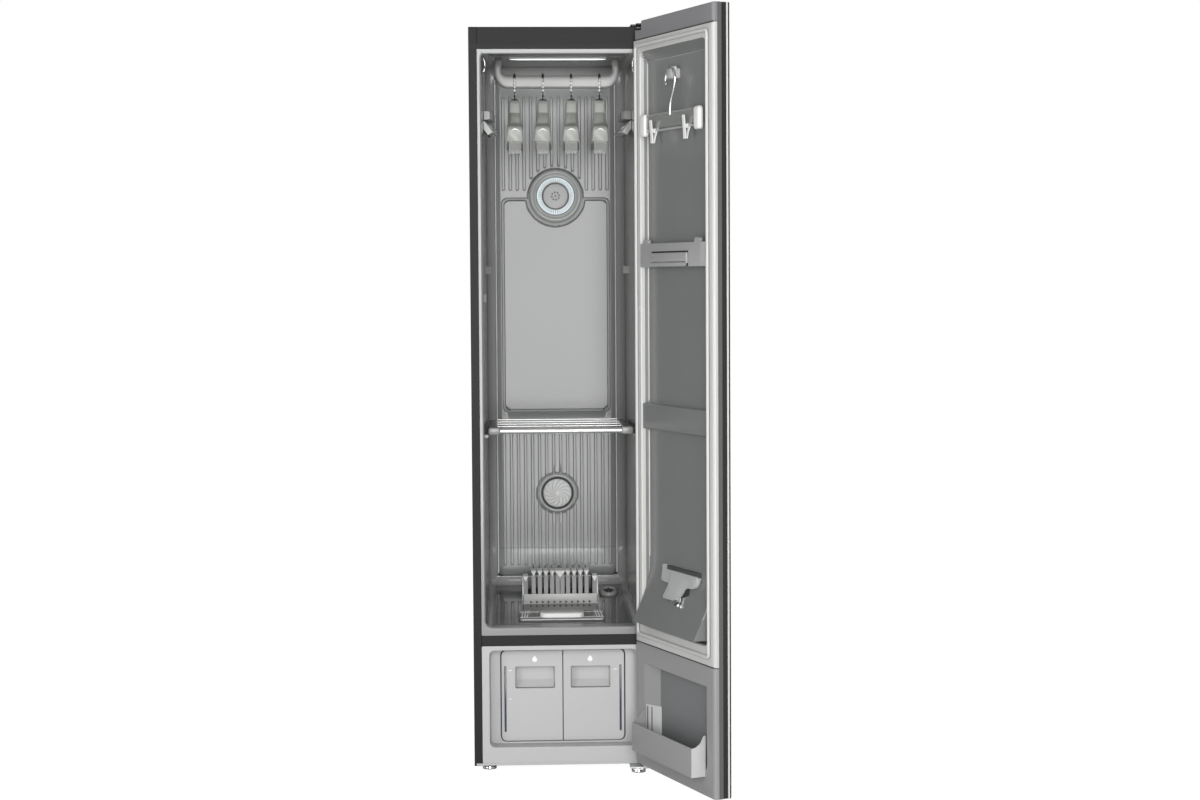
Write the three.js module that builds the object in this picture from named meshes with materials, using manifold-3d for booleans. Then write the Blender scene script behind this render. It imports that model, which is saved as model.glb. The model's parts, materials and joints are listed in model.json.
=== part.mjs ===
// Clothes care steam cabinet: a narrow free-standing cabinet whose door stands open, with moving
// hangers, a shelf, water tanks, filters and the machinery below and above its steam cavity.
// Millimetres, +Z up. X runs to the right across the front, Y runs from the front towards the back.
import * as THREE from 'three';
import { mergeVertices } from 'three/addons/utils/BufferGeometryUtils.js';
import Module from 'manifold-3d';

const wasm = await Module();
wasm.setup();

// Clearances and overruns shared by all pieces
const fitGap = 0.3;
const cutOver = 2;

// Steel case
const cabinetWidth = 445;
const cabinetDepth = 530;
const cabinetTop = 1842;
const caseBottom = 14;
const sheet = 1.2;
const frontReturn = 20;
const returnDepth = 14;
const rearReturn = 15;
const apronHeight = 46;
const panThickness = 2;
const panFlange = 16;
const panFrontInset = 3;
const halfWidth = cabinetWidth / 2;
const flangeHalf = halfWidth - frontReturn - fitGap;

// Steam cavity in the moulded liner
const rearSpace = 80;
const cavityDepth = cabinetDepth - rearSpace;
const cavitySideInset = 30.5;
const cavityHalfFront = halfWidth - cavitySideInset;
const cavityTaper = 9;
const cavityHalfBack = cavityHalfFront - cavityTaper;
const dividerTop = 340;
const dividerHeight = 26;
const dividerBottom = dividerTop - dividerHeight;
const sillHeight = 20;
const cavityFloorFront = dividerTop + sillHeight;
const cavityRise = 47;
const cavityFloorBack = cavityFloorFront + cavityRise;
const topSpace = 59;
const cavityCeilingFront = cabinetTop - topSpace;
const ceilingRise = 2;
const cavityCeilingBack = cavityCeilingFront + ceilingRise;
const cavityCorner = 17;
const cavityFillet = 22;
const cavityMouthRound = 3;
const linerWall = 2.5;
const linerFlange = 3;
const dividerDepth = 18;

// Ledges on the liner's side walls that carry the shelf
const shelfBottom = 836;
const ledgeHeight = 9;
const ledgeWidth = 9;
const shelfFront = 60;
const shelfRearGap = 50;
const shelfBack = cavityDepth - shelfRearGap;
const ledgeFrontInset = 24;
const ledgeFront = shelfFront + ledgeFrontInset;
const ledgeBackInset = 16;
const ledgeBack = shelfBack - ledgeBackInset;

// Ribbed rear wall
const rearWallThickness = 3;
const ribCount = 16;
const ribSideUpper = 45;
const ribSideLower = 42;
const ribPitchUpper = 2 * (cavityHalfBack - ribSideUpper) / (ribCount - 1);
const ribPitchLower = 2 * (cavityHalfBack - ribSideLower) / (ribCount - 1);
const ribWidth = 8;
const ribHeight = 3;
const ribTopDrop = 66;
const upperRibTop = cavityCeilingBack - ribTopDrop;
const ventDrop = 274;
const ventZ = upperRibTop - ventDrop;
const ribVentRise = 15;
const upperRibBottom = ventZ + ribVentRise;
const ribShelfRise = 9;
const lowerRibTop = shelfBottom + ribShelfRise;
const ribBaseRise = 51;
const lowerRibBottom = cavityFloorBack + ribBaseRise;
const panelSideInset = 38.5;
const panelHalf = cavityHalfBack - panelSideInset;
const panelTopDrop = 4;
const panelTop = ventZ - panelTopDrop;
const panelShelfRise = 33;
const panelBottom = shelfBottom + panelShelfRise;
const panelBorder = 8.5;
const panelCorner = 14;
const panelRaise = 2.5;
const seamRise = 47;
const seamHeight = lowerRibBottom + seamRise;
const seamWidth = 3;
const seamDepth = 1;

// Upper air outlet with its light ring, and the lower steam outlet
const ventDish = 81;
const ventCollar = 5;
const ventCollarRaise = 4;
const ventBezelRadius = 69;
const ventBezelDepth = 16;
const ventBezelCrest = 61;
const ventLensRadius = 50;
const ventBack = 4;
const ventDuctRadius = 30;
const ringInner = 35;
const ringOuter = 46;
const ringDepth = 4;
const ventCapRadius = 34;
const ventCapDepth = 6;
const ventHoleRadius = 2.2;
const ventHoleCircle = 10;
const ventHoleCount = 8;
const steamRise = 245;
const steamZ = cavityFloorBack + steamRise;
const steamFlange = 51;
const steamGroove = 42.5;
const steamCap = 38.7;
const steamFlangeDepth = 5;
const steamCapDepth = 11;
const steamStub = 20;
const steamStubLength = 12;

// Rear air duct
const ductHalf = 92;
const ductDepth = 44;
const ductBaseRise = 63;
const ductBottom = cavityFloorBack + ductBaseRise;
const ductVentRise = 100;
const ductTop = ventZ + ductVentRise;
const ductWall = 2;
const ductLip = 10;

// Hanger bar that the motor rocks from side to side
const hangerFrontClear = 28;
const hangerRearClear = 38;
const barY = (cavityDepth + hangerFrontClear - hangerRearClear) / 2;
const barSideClear = 32.5;
const barHalf = cavityHalfFront - barSideClear;
const barDrop = 33;
const barTop = cavityCeilingFront - barDrop;
const barHeight = 30;
const barDepth = 18;
const armWidth = 14;
const barCorner = 24;
const notchDepth = 3;
const saddleGap = 0.8;
const notchWidth = 7;
const hangerPitch = 72;
const hangerCount = 4;
const motorLength = 130;
const motorWidth = 76;
const motorHeight = 38;
const motorBoss = 14;

// Ceiling lamp
const lampLength = 245;
const lampWidth = 14;
const lampHeight = 7;
const lampAhead = 83;
const lampY = barY - lampAhead;
const lampRound = 2.5;

// Hangers
const wireRadius = 2;
const hookLoop = 14;
const hookTailDrop = 14;
const hangerDrop = 65;
const hangerNeckTop = barTop - hangerDrop;
const hangerNeckWidth = 26;
const hangerNeckHeight = 36;
const hangerNeckLength = 34;
const hangerTipWidth = 38.7;
const hangerShoulderDrop = 85;
const hangerTipTop = hangerNeckTop - hangerShoulderDrop;
const hangerTipHeight = 35;
const hangerTipBottom = hangerTipTop - hangerTipHeight;
const hangerKeelWidth = 30;
const hangerKeelHeight = 31;
const hangerKeelBottom = hangerTipBottom - hangerKeelHeight;
const hangerReach = barY - hangerFrontClear;
const hookSeat = 12;
const shoulderShares = [1, 0.95, 0.5];

// Shelf
const shelfSideGap = 1.5;
const shelfHalf = cavityHalfBack - shelfSideGap;
const shelfRailWidth = 30;
const shelfRailHeight = 18;
const shelfTubeRadius = 7;
const shelfBarRadius = 4;
const shelfBarCount = 7;
const shelfBarSink = 8;
const shelfSpineWidth = 8;
const shelfSpineInset = 6;

// Wings, hook blocks and sensor on the cavity's side walls
const wingDrop = 149;
const wingBottom = barTop - wingDrop;
const hookBlockDrop = 363;
const hookBlockBottom = wingBottom - hookBlockDrop;
const hookBlockHeight = 28;
const hookBlockLength = 46;
const hookBlockRear = 150;
const hookBlockY = cavityDepth - hookBlockRear;
const hookBlockProud = 16;
const wingHeight = 58;
const wingLength = 120;
const wingBehind = 30;
const wingY = barY + wingBehind;
const wingProud = 30;
const wingHoodProud = 22;
const wingHoodHeight = 19;
const wingGap = 4;
const wingRoot = 6;
const wingBladeRise = 27;
const wingTipWidth = 4;
const sensorDrop = 423;
const sensorZ = wingBottom - sensorDrop;
const sensorHeight = 20;
const sensorLength = 24;
const sensorY = 40;
const sensorProud = 8;

// Floor fittings
const nozzleSide = 53;
const nozzleX = cavityHalfBack - nozzleSide;
const nozzleRear = 120;
const nozzleY = cavityDepth - nozzleRear;
const nozzleRadius = 23;
const nozzleHeight = 20;
const nozzleNeck = 17;
const nozzleSlotCount = 8;
const nozzleSlotWidth = 4;
const filterSideGap = 9;
const filterWidth = 2 * (nozzleX - nozzleRadius - filterSideGap);
const filterRear = 220;
const filterFront = cavityDepth - filterRear;
const filterLength = 120;
const filterBase = 26;
const filterFinHeight = 60;
const filterFinThickness = 4;
const filterFinCount = 9;
const filterFinMargin = 34;
const filterFinPitch = (filterWidth - 2 * filterFinMargin) / (filterFinCount - 1);
const filterWall = 3;
const filterScallopCount = 11;
const filterScallopRadius = 5;
const trayOverhang = 10.5;
const trayWidth = filterWidth + 2 * trayOverhang;
const trayFront = 60;
const trayLength = 74;
const trayHeight = 9;
const trayCorner = 16;
const gripWidth = 112;
const gripLength = 22;
const gripHeight = 9;

// Machinery under the cavity
const compressorX = -110;
const compressorRear = 130;
const compressorY = cabinetDepth - compressorRear;
const compressorRadius = 58;
const compressorHeight = 165;
const compressorDome = 16;
const compressorFoot = 72;
const compressorFootHeight = 8;
const blowerX = 84;
const blowerRear = 90;
const blowerY = cabinetDepth - blowerRear;
const blowerZ = 165;
const blowerRadius = 96;
const blowerDepth = 92;
const blowerWall = 2.5;
const blowerInlet = 62;
const blowerMouth = 70;
const blowerMouthDrop = 77;
const blowerMouthTop = cavityFloorBack - blowerMouthDrop;
const fanRadius = 74;
const fanHub = 20;
const fanDepth = 68;
const fanPlate = 3;
const fanBladeCount = 14;
const fanBladeThickness = 2.5;
const fanBladeLength = 18;
const shaftRadius = 5;
const shaftReach = 9;
const generatorX = -120;
const generatorWidth = 120;
const generatorLength = 70;
const machineGap = 23;
const generatorY = compressorY - compressorFoot - machineGap - generatorLength / 2;
const generatorHeight = 120;
const generatorCorner = 12;
const generatorPort = 9;
const generatorPortHeight = 22;

// Tank bay and plinth
const plinthBottom = 19.6;
const baySideInset = 38.5;
const bayHalfFront = halfWidth - baySideInset;
const bayBottomFront = 59;
const bayTopDrop = 11;
const bayTopFront = dividerBottom - bayTopDrop;
const bayDraft = 1.5;
const bayRearGap = 5;
const bayDepth = generatorY - generatorLength / 2 - bayRearGap;
const bayCorner = 13;
const bayClear = 2.5;

// Water tanks
const tankSideGap = 30;
const tankHalfBlock = bayHalfFront - tankSideGap;
const tankBaseGap = 9;
const tankBottom = bayBottomFront + tankBaseGap;
const tankTopGap = 7;
const tankTop = bayTopFront - tankTopGap;
const tankFrontY = 38;
const tankFrontThickness = 26;
const tankCorner = 12.5;
const tankWall = 2.5;
const tankRearGap = 80;
const tankLength = bayDepth - tankRearGap;
const tankTubInset = 5;
const handleInner = 20;
const handleSideInset = 35;
const handleOuter = tankHalfBlock - handleSideInset;
const handleTopInset = 40.7;
const handleHeight = 55;
const handleTop = tankTop - handleTopInset;
const handleBottom = handleTop - handleHeight;
const handleDepth = 20;
const slitSideInset = 9.5;
const slitX = tankHalfBlock - slitSideInset;
const slitWidth = 5;
const slitBottomInset = 22;
const slitBottom = tankBottom + slitBottomInset;
const slitTopInset = 39;
const slitTop = tankTop - slitTopInset;
const slitDepth = 2;

// Levelling feet
const footSideInset = 37.5;
const footX = halfWidth - footSideInset;
const footFrontY = 36;
const footRearInset = 42;
const footRearY = cabinetDepth - footRearInset;
const footRadius = 17.5;
const footHeight = 9;
const footChamfer = 2;
const stemRadius = 5;
const stemTop = 27;

// Door, as seen from its hinge edge and from its inner face outwards
const openAngle = 110.5;
const doorWidth = cabinetWidth;
const doorBottom = 21.5;
const doorRise = 8;
const doorTop = cabinetTop + doorRise;
const hingeInset = 18;
const hingeDepth = 20;
const doorGap = 8;
const doorEdgeRound = 6;
const linerDepth = 15;
const frameDepth = 27;
const carrierDepth = 36.5;
const carrierInset = 5;
const carrierRim = 14;
const paneDepth = 43.5;
const paneThickness = 4.2;
const paneCorner = 3;
const topBand = 45;
const linerTop = doorTop - topBand;
const linerBottom = dividerTop;
const framePlate = 3;
const frameWall = 4;
const doorLinerWall = 2.5;
const recessHinge = 42;
const recessFreeInset = 33;
const recessFree = doorWidth - recessFreeInset;
const recessMiddle = (recessHinge + recessFree) / 2;
const recessTopInset = 37;
const recessTop = linerTop - recessTopInset;
const recessBottomInset = 32;
const recessBottom = linerBottom + recessBottomInset;
const recessDepth = 21;
const recessCorner = 24;
const recessDraft = 3;
const bandTop = 921;
const bandHeight = 64;
const bandBottom = bandTop - bandHeight;
const bandRaise = 3;
const lipHingeInset = 8;
const lipHinge = recessHinge + lipHingeInset;
const lipFreeInset = 14;
const lipFree = recessFree - lipFreeInset;
const lipRise = 13;
const lipHeight = 77;
const lipBottom = recessBottom + lipRise;
const lipTop = lipBottom + lipHeight;
const lipProud = 30;
const lipWall = 2.5;
const lipSteps = 7;
const gasketInset = 19;
const gasketWidth = 9;
const gasketProud = 7;
const gasketTopInset = 11;
const gasketCorner = 14;

// Crossbar on the door and its flap
const crossDrop = 460;
const crossTop = recessTop - crossDrop;
const crossHeight = 58;
const crossBottom = crossTop - crossHeight;
const crossProud = 2;
const crossWall = 3;
const crossHook = 6;
const crossHookWidth = 16;
const flapHinge = 128;
const flapFreeInset = 137;
const flapFree = doorWidth - flapFreeInset;
const flapTopInset = 22;
const flapTop = crossTop - flapTopInset;
const flapBottomInset = 3;
const flapBottom = crossBottom + flapBottomInset;
const flapThickness = 4;
const flapOpen = 4;
const flapBevelShare = 0.8;

// Hem clip on the door
const hemShift = 5;
const hemCentre = recessMiddle + hemShift;
const hemWidth = 183;
const hemRise = 78;
const hemTop = lipTop + hemRise;
const hemArmHeight = 30;
const hemArmBottom = hemTop - hemArmHeight;
const hemStemWidth = 74;
const hemHeight = 74;
const hemBottom = hemTop - hemHeight;
const hemThickness = 9;
const hemCorner = 6;
const springClipWidth = 44;
const springClipDrop = 34;

// Trouser hanger on the door
const pegShift = 5;
const pegT = recessMiddle - pegShift;
const pegDrop = 64;
const pegZ = recessTop - pegDrop;
const pegRadius = 7;
const pegHead = 11;
const pegHeadThickness = 3;
const pegReach = 27;
const trouserSideGap = 25;
const trouserHalf = (recessFree - recessHinge) / 2 - trouserSideGap;
const trouserDrop = 87;
const trouserTop = pegZ - trouserDrop;
const trouserCapHeight = 50;
const trouserCapWidth = 22;
const trouserBarHeight = 16;
const trouserBarDrop = 14;
const trouserThickness = 9;
const trouserN = -4;
const trouserLoop = 11;
const clipInset = 68;
const clipOffset = trouserHalf - clipInset;
const clipWidth = 26;
const clipHeight = 56;
const clipDrop = 11;
const clipWall = 3;

// Storage pocket in the door's lower part
const pocketHinge = 52;
const pocketFreeInset = 50;
const pocketFree = doorWidth - pocketFreeInset;
const pocketProud = 36;
const pocketRise = 63.5;
const pocketBottom = doorBottom + pocketRise;
const pocketFrontHeight = 68;
const pocketFrontTop = pocketBottom + pocketFrontHeight;
const pocketEarHeight = 97;
const pocketEarTop = pocketBottom + pocketEarHeight;
const pocketWall = 2.5;
const lowerRecessDrop = 45;
const lowerRecessTop = linerBottom - lowerRecessDrop;
const lowerRecessDepth = 20;
const pocketSlope = 8;
const pocketCorner = 4;

// Hinge brackets
const bracketPlate = 4.4;
const bracketHead = 9;
const bracketLeft = 14;
const bracketRight = 2;
const topBracketReach = 60;
const lowerBracketLeft = 40;
const lowerBracketRight = 14;
const lowerBracketReach = 14;
const pinRadius = 5;
const pinSink = 16;
const notchT = 36;
const notchHeight = 16;
const notchBase = doorTop - notchHeight;

const doorPinX = halfWidth - hingeInset;
const doorPinY = -doorGap - hingeDepth;

// Facets of round forms
const arcSteps = 4;
const roundSides = 16;
const outletSides = 32;
const wireSides = 6;
const wireSteps = 20;
const ribSteps = 2;
const barSides = 8;

const degrees = Math.PI / 180;

// Geometry helpers

function faceOut(geometry) {
  const p = geometry.attributes.position;
  const index = geometry.index.array;
  const a = new THREE.Vector3();
  const b = new THREE.Vector3();
  const c = new THREE.Vector3();
  let volume = 0;
  for (let i = 0; i < index.length; i += 3) {
    a.fromBufferAttribute(p, index[i]);
    b.fromBufferAttribute(p, index[i + 1]);
    c.fromBufferAttribute(p, index[i + 2]);
    volume += a.dot(b.cross(c));
  }
  if (volume < 0) {
    for (let i = 0; i < index.length; i += 3) {
      const swap = index[i];
      index[i] = index[i + 1];
      index[i + 1] = swap;
    }
  }
  return geometry;
}

function toSolid(geometry) {
  const bare = geometry.clone();
  bare.deleteAttribute('normal');
  bare.deleteAttribute('uv');
  const merged = faceOut(mergeVertices(bare));
  return new wasm.Manifold(new wasm.Mesh({
    numProp: 3,
    vertProperties: new Float32Array(merged.attributes.position.array),
    triVerts: new Uint32Array(merged.index.array),
  }));
}

function toGeometry(solid) {
  const mesh = solid.getMesh();
  const geometry = new THREE.BufferGeometry();
  geometry.setAttribute('position', new THREE.BufferAttribute(mesh.vertProperties, 3));
  geometry.setIndex(new THREE.BufferAttribute(mesh.triVerts, 1));
  geometry.computeVertexNormals();
  return geometry;
}

function unite(first, ...others) {
  return others.reduce((sum, other) => sum.add(other), first);
}

function cut(first, ...others) {
  return others.reduce((rest, other) => rest.subtract(other), first);
}

function block(x0, x1, y0, y1, z0, z1) {
  const geometry = new THREE.BoxGeometry(x1 - x0, y1 - y0, z1 - z0);
  geometry.translate((x0 + x1) / 2, (y0 + y1) / 2, (z0 + z1) / 2);
  return toSolid(geometry);
}

function shapeOf(points, holes = []) {
  const shape = new THREE.Shape(points.map(([a, b]) => new THREE.Vector2(a, b)));
  holes.forEach((hole) => {
    shape.holes.push(new THREE.Path(hole.map(([a, b]) => new THREE.Vector2(a, b))));
  });
  return shape;
}

// Prisms take an outline in the two axes across their run, in X, Y, Z order.
function prism(axis, points, low, high, holes = []) {
  const geometry = new THREE.ExtrudeGeometry(shapeOf(points, holes),
    { depth: high - low, bevelEnabled: false });
  const turn = new THREE.Matrix4();
  if (axis === 'x') {
    turn.makeBasis(new THREE.Vector3(0, 1, 0), new THREE.Vector3(0, 0, 1), new THREE.Vector3(1, 0, 0));
    geometry.applyMatrix4(turn);
    geometry.translate(low, 0, 0);
  } else if (axis === 'y') {
    turn.makeBasis(new THREE.Vector3(1, 0, 0), new THREE.Vector3(0, 0, 1), new THREE.Vector3(0, -1, 0));
    geometry.applyMatrix4(turn);
    geometry.translate(0, high, 0);
  } else {
    geometry.translate(0, 0, low);
  }
  return toSolid(geometry);
}

// A drum runs along an axis between two places, round a centre given in the other two axes.
function drum(axis, radius, centre, low, high, sides = roundSides) {
  return prism(axis, circlePoints(centre, radius, sides), low, high);
}

function circlePoints([a, b], radius, sides = roundSides) {
  return Array.from({ length: sides }, (_, i) => {
    const angle = (i / sides) * 2 * Math.PI;
    return [a + radius * Math.cos(angle), b + radius * Math.sin(angle)];
  });
}

function roundedPoints(a0, a1, b0, b1, radius, steps = arcSteps) {
  const centres = [
    [a1 - radius, b0 + radius, -90],
    [a1 - radius, b1 - radius, 0],
    [a0 + radius, b1 - radius, 90],
    [a0 + radius, b0 + radius, 180],
  ];
  return centres.flatMap(([ca, cb, start]) => Array.from({ length: steps + 1 }, (_, i) => {
    const angle = (start + (90 * i) / steps) * degrees;
    return [ca + radius * Math.cos(angle), cb + radius * Math.sin(angle)];
  }));
}

// A loft joins rings of equal point counts; a closed loft meets itself, an open one is capped.
function loft(rings, closed = false) {
  const count = rings[0].length;
  const points = rings.flat();
  const index = [];
  const spans = closed ? rings.length : rings.length - 1;
  for (let r = 0; r < spans; r += 1) {
    const next = (r + 1) % rings.length;
    for (let i = 0; i < count; i += 1) {
      const j = (i + 1) % count;
      index.push(r * count + i, r * count + j, next * count + j);
      index.push(r * count + i, next * count + j, next * count + i);
    }
  }
  if (!closed) {
    const last = (rings.length - 1) * count;
    for (let i = 1; i < count - 1; i += 1) {
      index.push(0, i + 1, i);
      index.push(last, last + i, last + i + 1);
    }
  }
  const geometry = new THREE.BufferGeometry();
  geometry.setAttribute('position', new THREE.Float32BufferAttribute(points.flat(), 3));
  geometry.setIndex(index);
  return toSolid(geometry);
}

// A turned piece: its profile lists radius and height, and starts and ends on the axis or closes on itself.
function turned(profile, sides = roundSides) {
  const points = profile.map(([r, h]) => new THREE.Vector2(r, h));
  return toSolid(new THREE.LatheGeometry(points, sides));
}

// Turned pieces that face the room point their height along minus Y; upright ones along Z.
function facingFront(solid, x, y, z) {
  return solid.rotate([180, 0, 0]).translate([x, y, z]);
}

function upright(solid, x, y, z) {
  return solid.rotate([90, 0, 0]).translate([x, y, z]);
}

// Wire is a round section swept along a smooth curve through its points.
function wire(points, radius, steps) {
  const curve = new THREE.CatmullRomCurve3(points.map((p) => new THREE.Vector3(...p)), false,
    'centripetal');
  const section = shapeOf(circlePoints([0, 0], radius, wireSides));
  return toSolid(new THREE.ExtrudeGeometry(section, { extrudePath: curve, steps, bevelEnabled: false }));
}

function mix(from, to, share) {
  return from + (to - from) * share;
}

function finish(color, roughness, metalness = 0) {
  return new THREE.MeshStandardMaterial({ color, roughness, metalness });
}

const charcoal = finish(0x3e3e40, 0.55, 0.3);
const lightGrey = finish(0xb4b4b2, 0.4);
const tankGrey = finish(0xc2c2c0, 0.42);
const wallGrey = finish(0x9c9e9d, 0.35);
const rearGrey = finish(0xa7a9a8, 0.4);
const metalSheet = finish(0x9a9c9e, 0.5, 0.6);
const blackPlastic = finish(0x1d1d1e, 0.5);
const chromeFinish = finish(0xd0d2d4, 0.15, 1);
const steelFinish = finish(0xc4c6c8, 0.25, 1);
const glowWhite = new THREE.MeshStandardMaterial({ color: 0xf2f6ff, emissive: 0xdfe8ff, roughness: 0.3 });
const hangerGrey = finish(0xb2b5ae, 0.3);
const doorGrey = finish(0x7c7d7e, 0.45);
const doorRecessGrey = finish(0x6b6d6c, 0.5);
const gasketGrey = finish(0xd6d6d4, 0.7);
const paneBlack = finish(0x161718, 0.08);

const cabinet = new THREE.Group();
const doorGroup = new THREE.Group();

function add(name, solid, material, parent = cabinet) {
  const mesh = new THREE.Mesh(toGeometry(solid), material);
  mesh.name = name;
  parent.add(mesh);
  return mesh;
}

// Places on the tapering cavity walls

function cavityHalfAt(y) {
  return mix(cavityHalfFront, cavityHalfBack, y / cavityDepth);
}

function cavityFloorAt(y) {
  return mix(cavityFloorFront, cavityFloorBack, y / cavityDepth);
}

function cavityCeilingAt(y) {
  return mix(cavityCeilingFront, cavityCeilingBack, y / cavityDepth);
}

function cavityRing(y, inset) {
  const half = cavityHalfAt(y) - inset;
  const radius = Math.max(cavityCorner - inset, cavityCorner / 4);
  const outline = roundedPoints(-half, half, cavityFloorAt(y) + inset, cavityCeilingAt(y) - inset, radius);
  return outline.map(([x, z]) => [x, y, z]);
}

// Case

function sidePanel(sign) {
  const outer = sign * halfWidth;
  const rear = cabinetDepth - sheet - fitGap;
  const inner = outer - sign * sheet;
  const lip = outer - sign * frontReturn;
  const outline = [
    [outer, 0],
    [lip, 0],
    [lip, returnDepth],
    [lip + sign * sheet, returnDepth],
    [lip + sign * sheet, sheet],
    [inner, sheet],
    [inner, rear - sheet],
    [outer - sign * rearReturn, rear - sheet],
    [outer - sign * rearReturn, rear],
    [outer, rear],
  ];
  return prism('z', sign > 0 ? outline : outline.reverse(), caseBottom, cabinetTop - sheet - fitGap);
}

function topCover() {
  const under = cabinetTop - sheet;
  const apronBottom = cabinetTop - apronHeight;
  const plate = block(-halfWidth, halfWidth, 0, cabinetDepth, under, cabinetTop);
  const apron = block(-flangeHalf, flangeHalf, 0, sheet, apronBottom, cabinetTop);
  const fold = block(-flangeHalf, flangeHalf, 0, returnDepth, apronBottom, apronBottom + sheet);
  return unite(plate, apron, fold);
}

function backCover() {
  return block(-halfWidth, halfWidth, cabinetDepth - sheet, cabinetDepth, caseBottom,
    cabinetTop - sheet - fitGap);
}

function basePan() {
  const half = halfWidth - sheet - fitGap;
  const back = cabinetDepth - 2 * sheet - 2 * fitGap;
  const tray = block(-half, half, panFrontInset + returnDepth, back, caseBottom, caseBottom + panThickness);
  const tongue = block(-flangeHalf + sheet, flangeHalf - sheet, panFrontInset,
    panFrontInset + returnDepth + cutOver,
    caseBottom, caseBottom + panThickness);
  const flange = block(-half, half, back - panThickness, back, caseBottom, caseBottom + panFlange);
  let pan = unite(tray, tongue, flange);
  footPlaces().forEach(([x, y]) => {
    pan = cut(pan, drum('z', stemRadius + fitGap, [x, y], caseBottom - cutOver, caseBottom + panFlange,
      roundSides));
  });
  return pan;
}

function footPlaces() {
  return [
    [-footX, footFrontY],
    [footX, footFrontY],
    [-footX, footRearY],
    [footX, footRearY],
  ];
}

function foot(x, y) {
  const top = footHeight;
  return upright(turned([
    [0, 0],
    [footRadius - footChamfer, 0],
    [footRadius, footChamfer],
    [footRadius, top - footChamfer],
    [footRadius - footChamfer, top],
    [stemRadius, top],
    [stemRadius, stemTop],
    [0, stemTop],
  ]), x, y, 0);
}

// Cavity liner: a thin shell that turns from the front flange into the walls and the rear fillet
function linerBody() {
  const filletY = cavityDepth - cavityFillet;
  const flangeOutline = roundedPoints(-flangeHalf, flangeHalf, dividerTop + fitGap,
    cabinetTop - apronHeight - fitGap, cavityMouthRound);
  const rings = [
    flangeOutline.map(([x, z]) => [x, 0, z]),
    flangeOutline.map(([x, z]) => [x, linerFlange, z]),
    cavityRing(linerFlange, -linerWall),
  ];
  for (let i = 0; i <= arcSteps; i += 1) {
    const angle = (90 * i / arcSteps) * degrees;
    const reach = cavityFillet + linerWall;
    rings.push(cavityRing(filletY + reach * Math.sin(angle), cavityFillet - reach * Math.cos(angle)));
  }
  for (let i = arcSteps; i >= 0; i -= 1) {
    const angle = (90 * i / arcSteps) * degrees;
    rings.push(cavityRing(filletY + cavityFillet * Math.sin(angle), cavityFillet * (1 - Math.cos(angle))));
  }
  rings.push(cavityRing(cavityMouthRound, 0));
  rings.push(cavityRing(0, -cavityMouthRound));
  return unite(loft(rings, true), shelfLedge(-1), shelfLedge(1), hookBlock(-1), hookBlock(1));
}

function shelfLedge(sign) {
  const wallFront = cavityHalfAt(ledgeFront);
  const wallBack = cavityHalfAt(ledgeBack);
  const top = shelfBottom - fitGap;
  const sink = linerWall / 2;
  const outline = [
    [sign * (wallFront + sink), ledgeFront],
    [sign * (wallBack + sink), ledgeBack],
    [sign * (wallBack - ledgeWidth), ledgeBack],
    [sign * (wallFront - ledgeWidth), ledgeFront],
  ];
  return prism('z', outline, top - ledgeHeight, top);
}

// Rear wall: ribs above and below a framed panel, with round seats for both outlets
function capsulePoints(x, bottom, top, width) {
  const radius = width / 2;
  const half = ribSteps;
  const upper = Array.from({ length: half + 1 }, (_, i) => {
    const angle = (180 * i / half) * degrees;
    return [x + radius * Math.cos(angle), top - radius + radius * Math.sin(angle)];
  });
  const lower = Array.from({ length: half + 1 }, (_, i) => {
    const angle = (180 + 180 * i / half) * degrees;
    return [x + radius * Math.cos(angle), bottom + radius + radius * Math.sin(angle)];
  });
  return [...upper, ...lower];
}

function ribFamily(pitch, bottom, top, centreZ, clearRadius) {
  const face = cavityDepth;
  return Array.from({ length: ribCount }, (_, i) => {
    const x = (i - (ribCount - 1) / 2) * pitch;
    const reach = Math.abs(x) < clearRadius ? Math.sqrt(clearRadius ** 2 - x ** 2) : 0;
    const arcTop = centreZ + reach;
    const start = arcTop > bottom && reach > 0 && centreZ < bottom + ribWidth ? arcTop : bottom;
    return prism('y', capsulePoints(x, start, top, ribWidth), face - ribHeight,
      face + rearWallThickness / 2);
  });
}

function rearWall() {
  const outline = cavityRing(cavityDepth, cavityFillet + fitGap).map(([x, , z]) => [x, z]);
  const face = cavityDepth;
  const back = face + rearWallThickness;
  let wall = prism('y', outline, face, back);
  wall = unite(wall, ...ribFamily(ribPitchUpper, upperRibBottom, upperRibTop, ventZ, ventDish));
  const lower = unite(...ribFamily(ribPitchLower, lowerRibBottom, lowerRibTop, 0, 0));
  const steamClear = drum('y', steamFlange + ventCollar, [0, steamZ], face - ribHeight - cutOver, face);
  wall = unite(wall, cut(lower, steamClear));
  const frameOuter = roundedPoints(-panelHalf, panelHalf, panelBottom, panelTop, panelCorner);
  const frameInner = roundedPoints(-panelHalf + panelBorder, panelHalf - panelBorder,
    panelBottom + panelBorder, panelTop - panelBorder, panelCorner - panelBorder / 2);
  const frame = prism('y', frameOuter, face - panelRaise, face + rearWallThickness / 2, [frameInner]);
  const dish = drum('y', ventDish, [0, ventZ], face - ribHeight - cutOver, face);
  wall = unite(wall, cut(frame, dish));
  const collar = prism('y', circlePoints([0, ventZ], ventDish), face - ventCollarRaise,
    face + rearWallThickness / 2, [circlePoints([0, ventZ], ventDish - ventCollar)]);
  const steamCollar = prism('y', circlePoints([0, steamZ], steamFlange + ventCollar, outletSides),
    face - ribHeight,
    face + rearWallThickness / 2, [circlePoints([0, steamZ], steamFlange + fitGap, outletSides)]);
  wall = unite(wall, collar, steamCollar);
  const seamHalf = (ribCount / 2) * ribPitchLower;
  const seam = block(-seamHalf, seamHalf, face, face + seamDepth, seamHeight, seamHeight + seamWidth);
  const ventBore = drum('y', ventDuctRadius, [0, ventZ], face - cutOver, back + cutOver);
  const steamBore = drum('y', steamStub + fitGap, [0, steamZ], face - cutOver, back + cutOver, outletSides);
  return cut(wall, seam, ventBore, steamBore);
}

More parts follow.
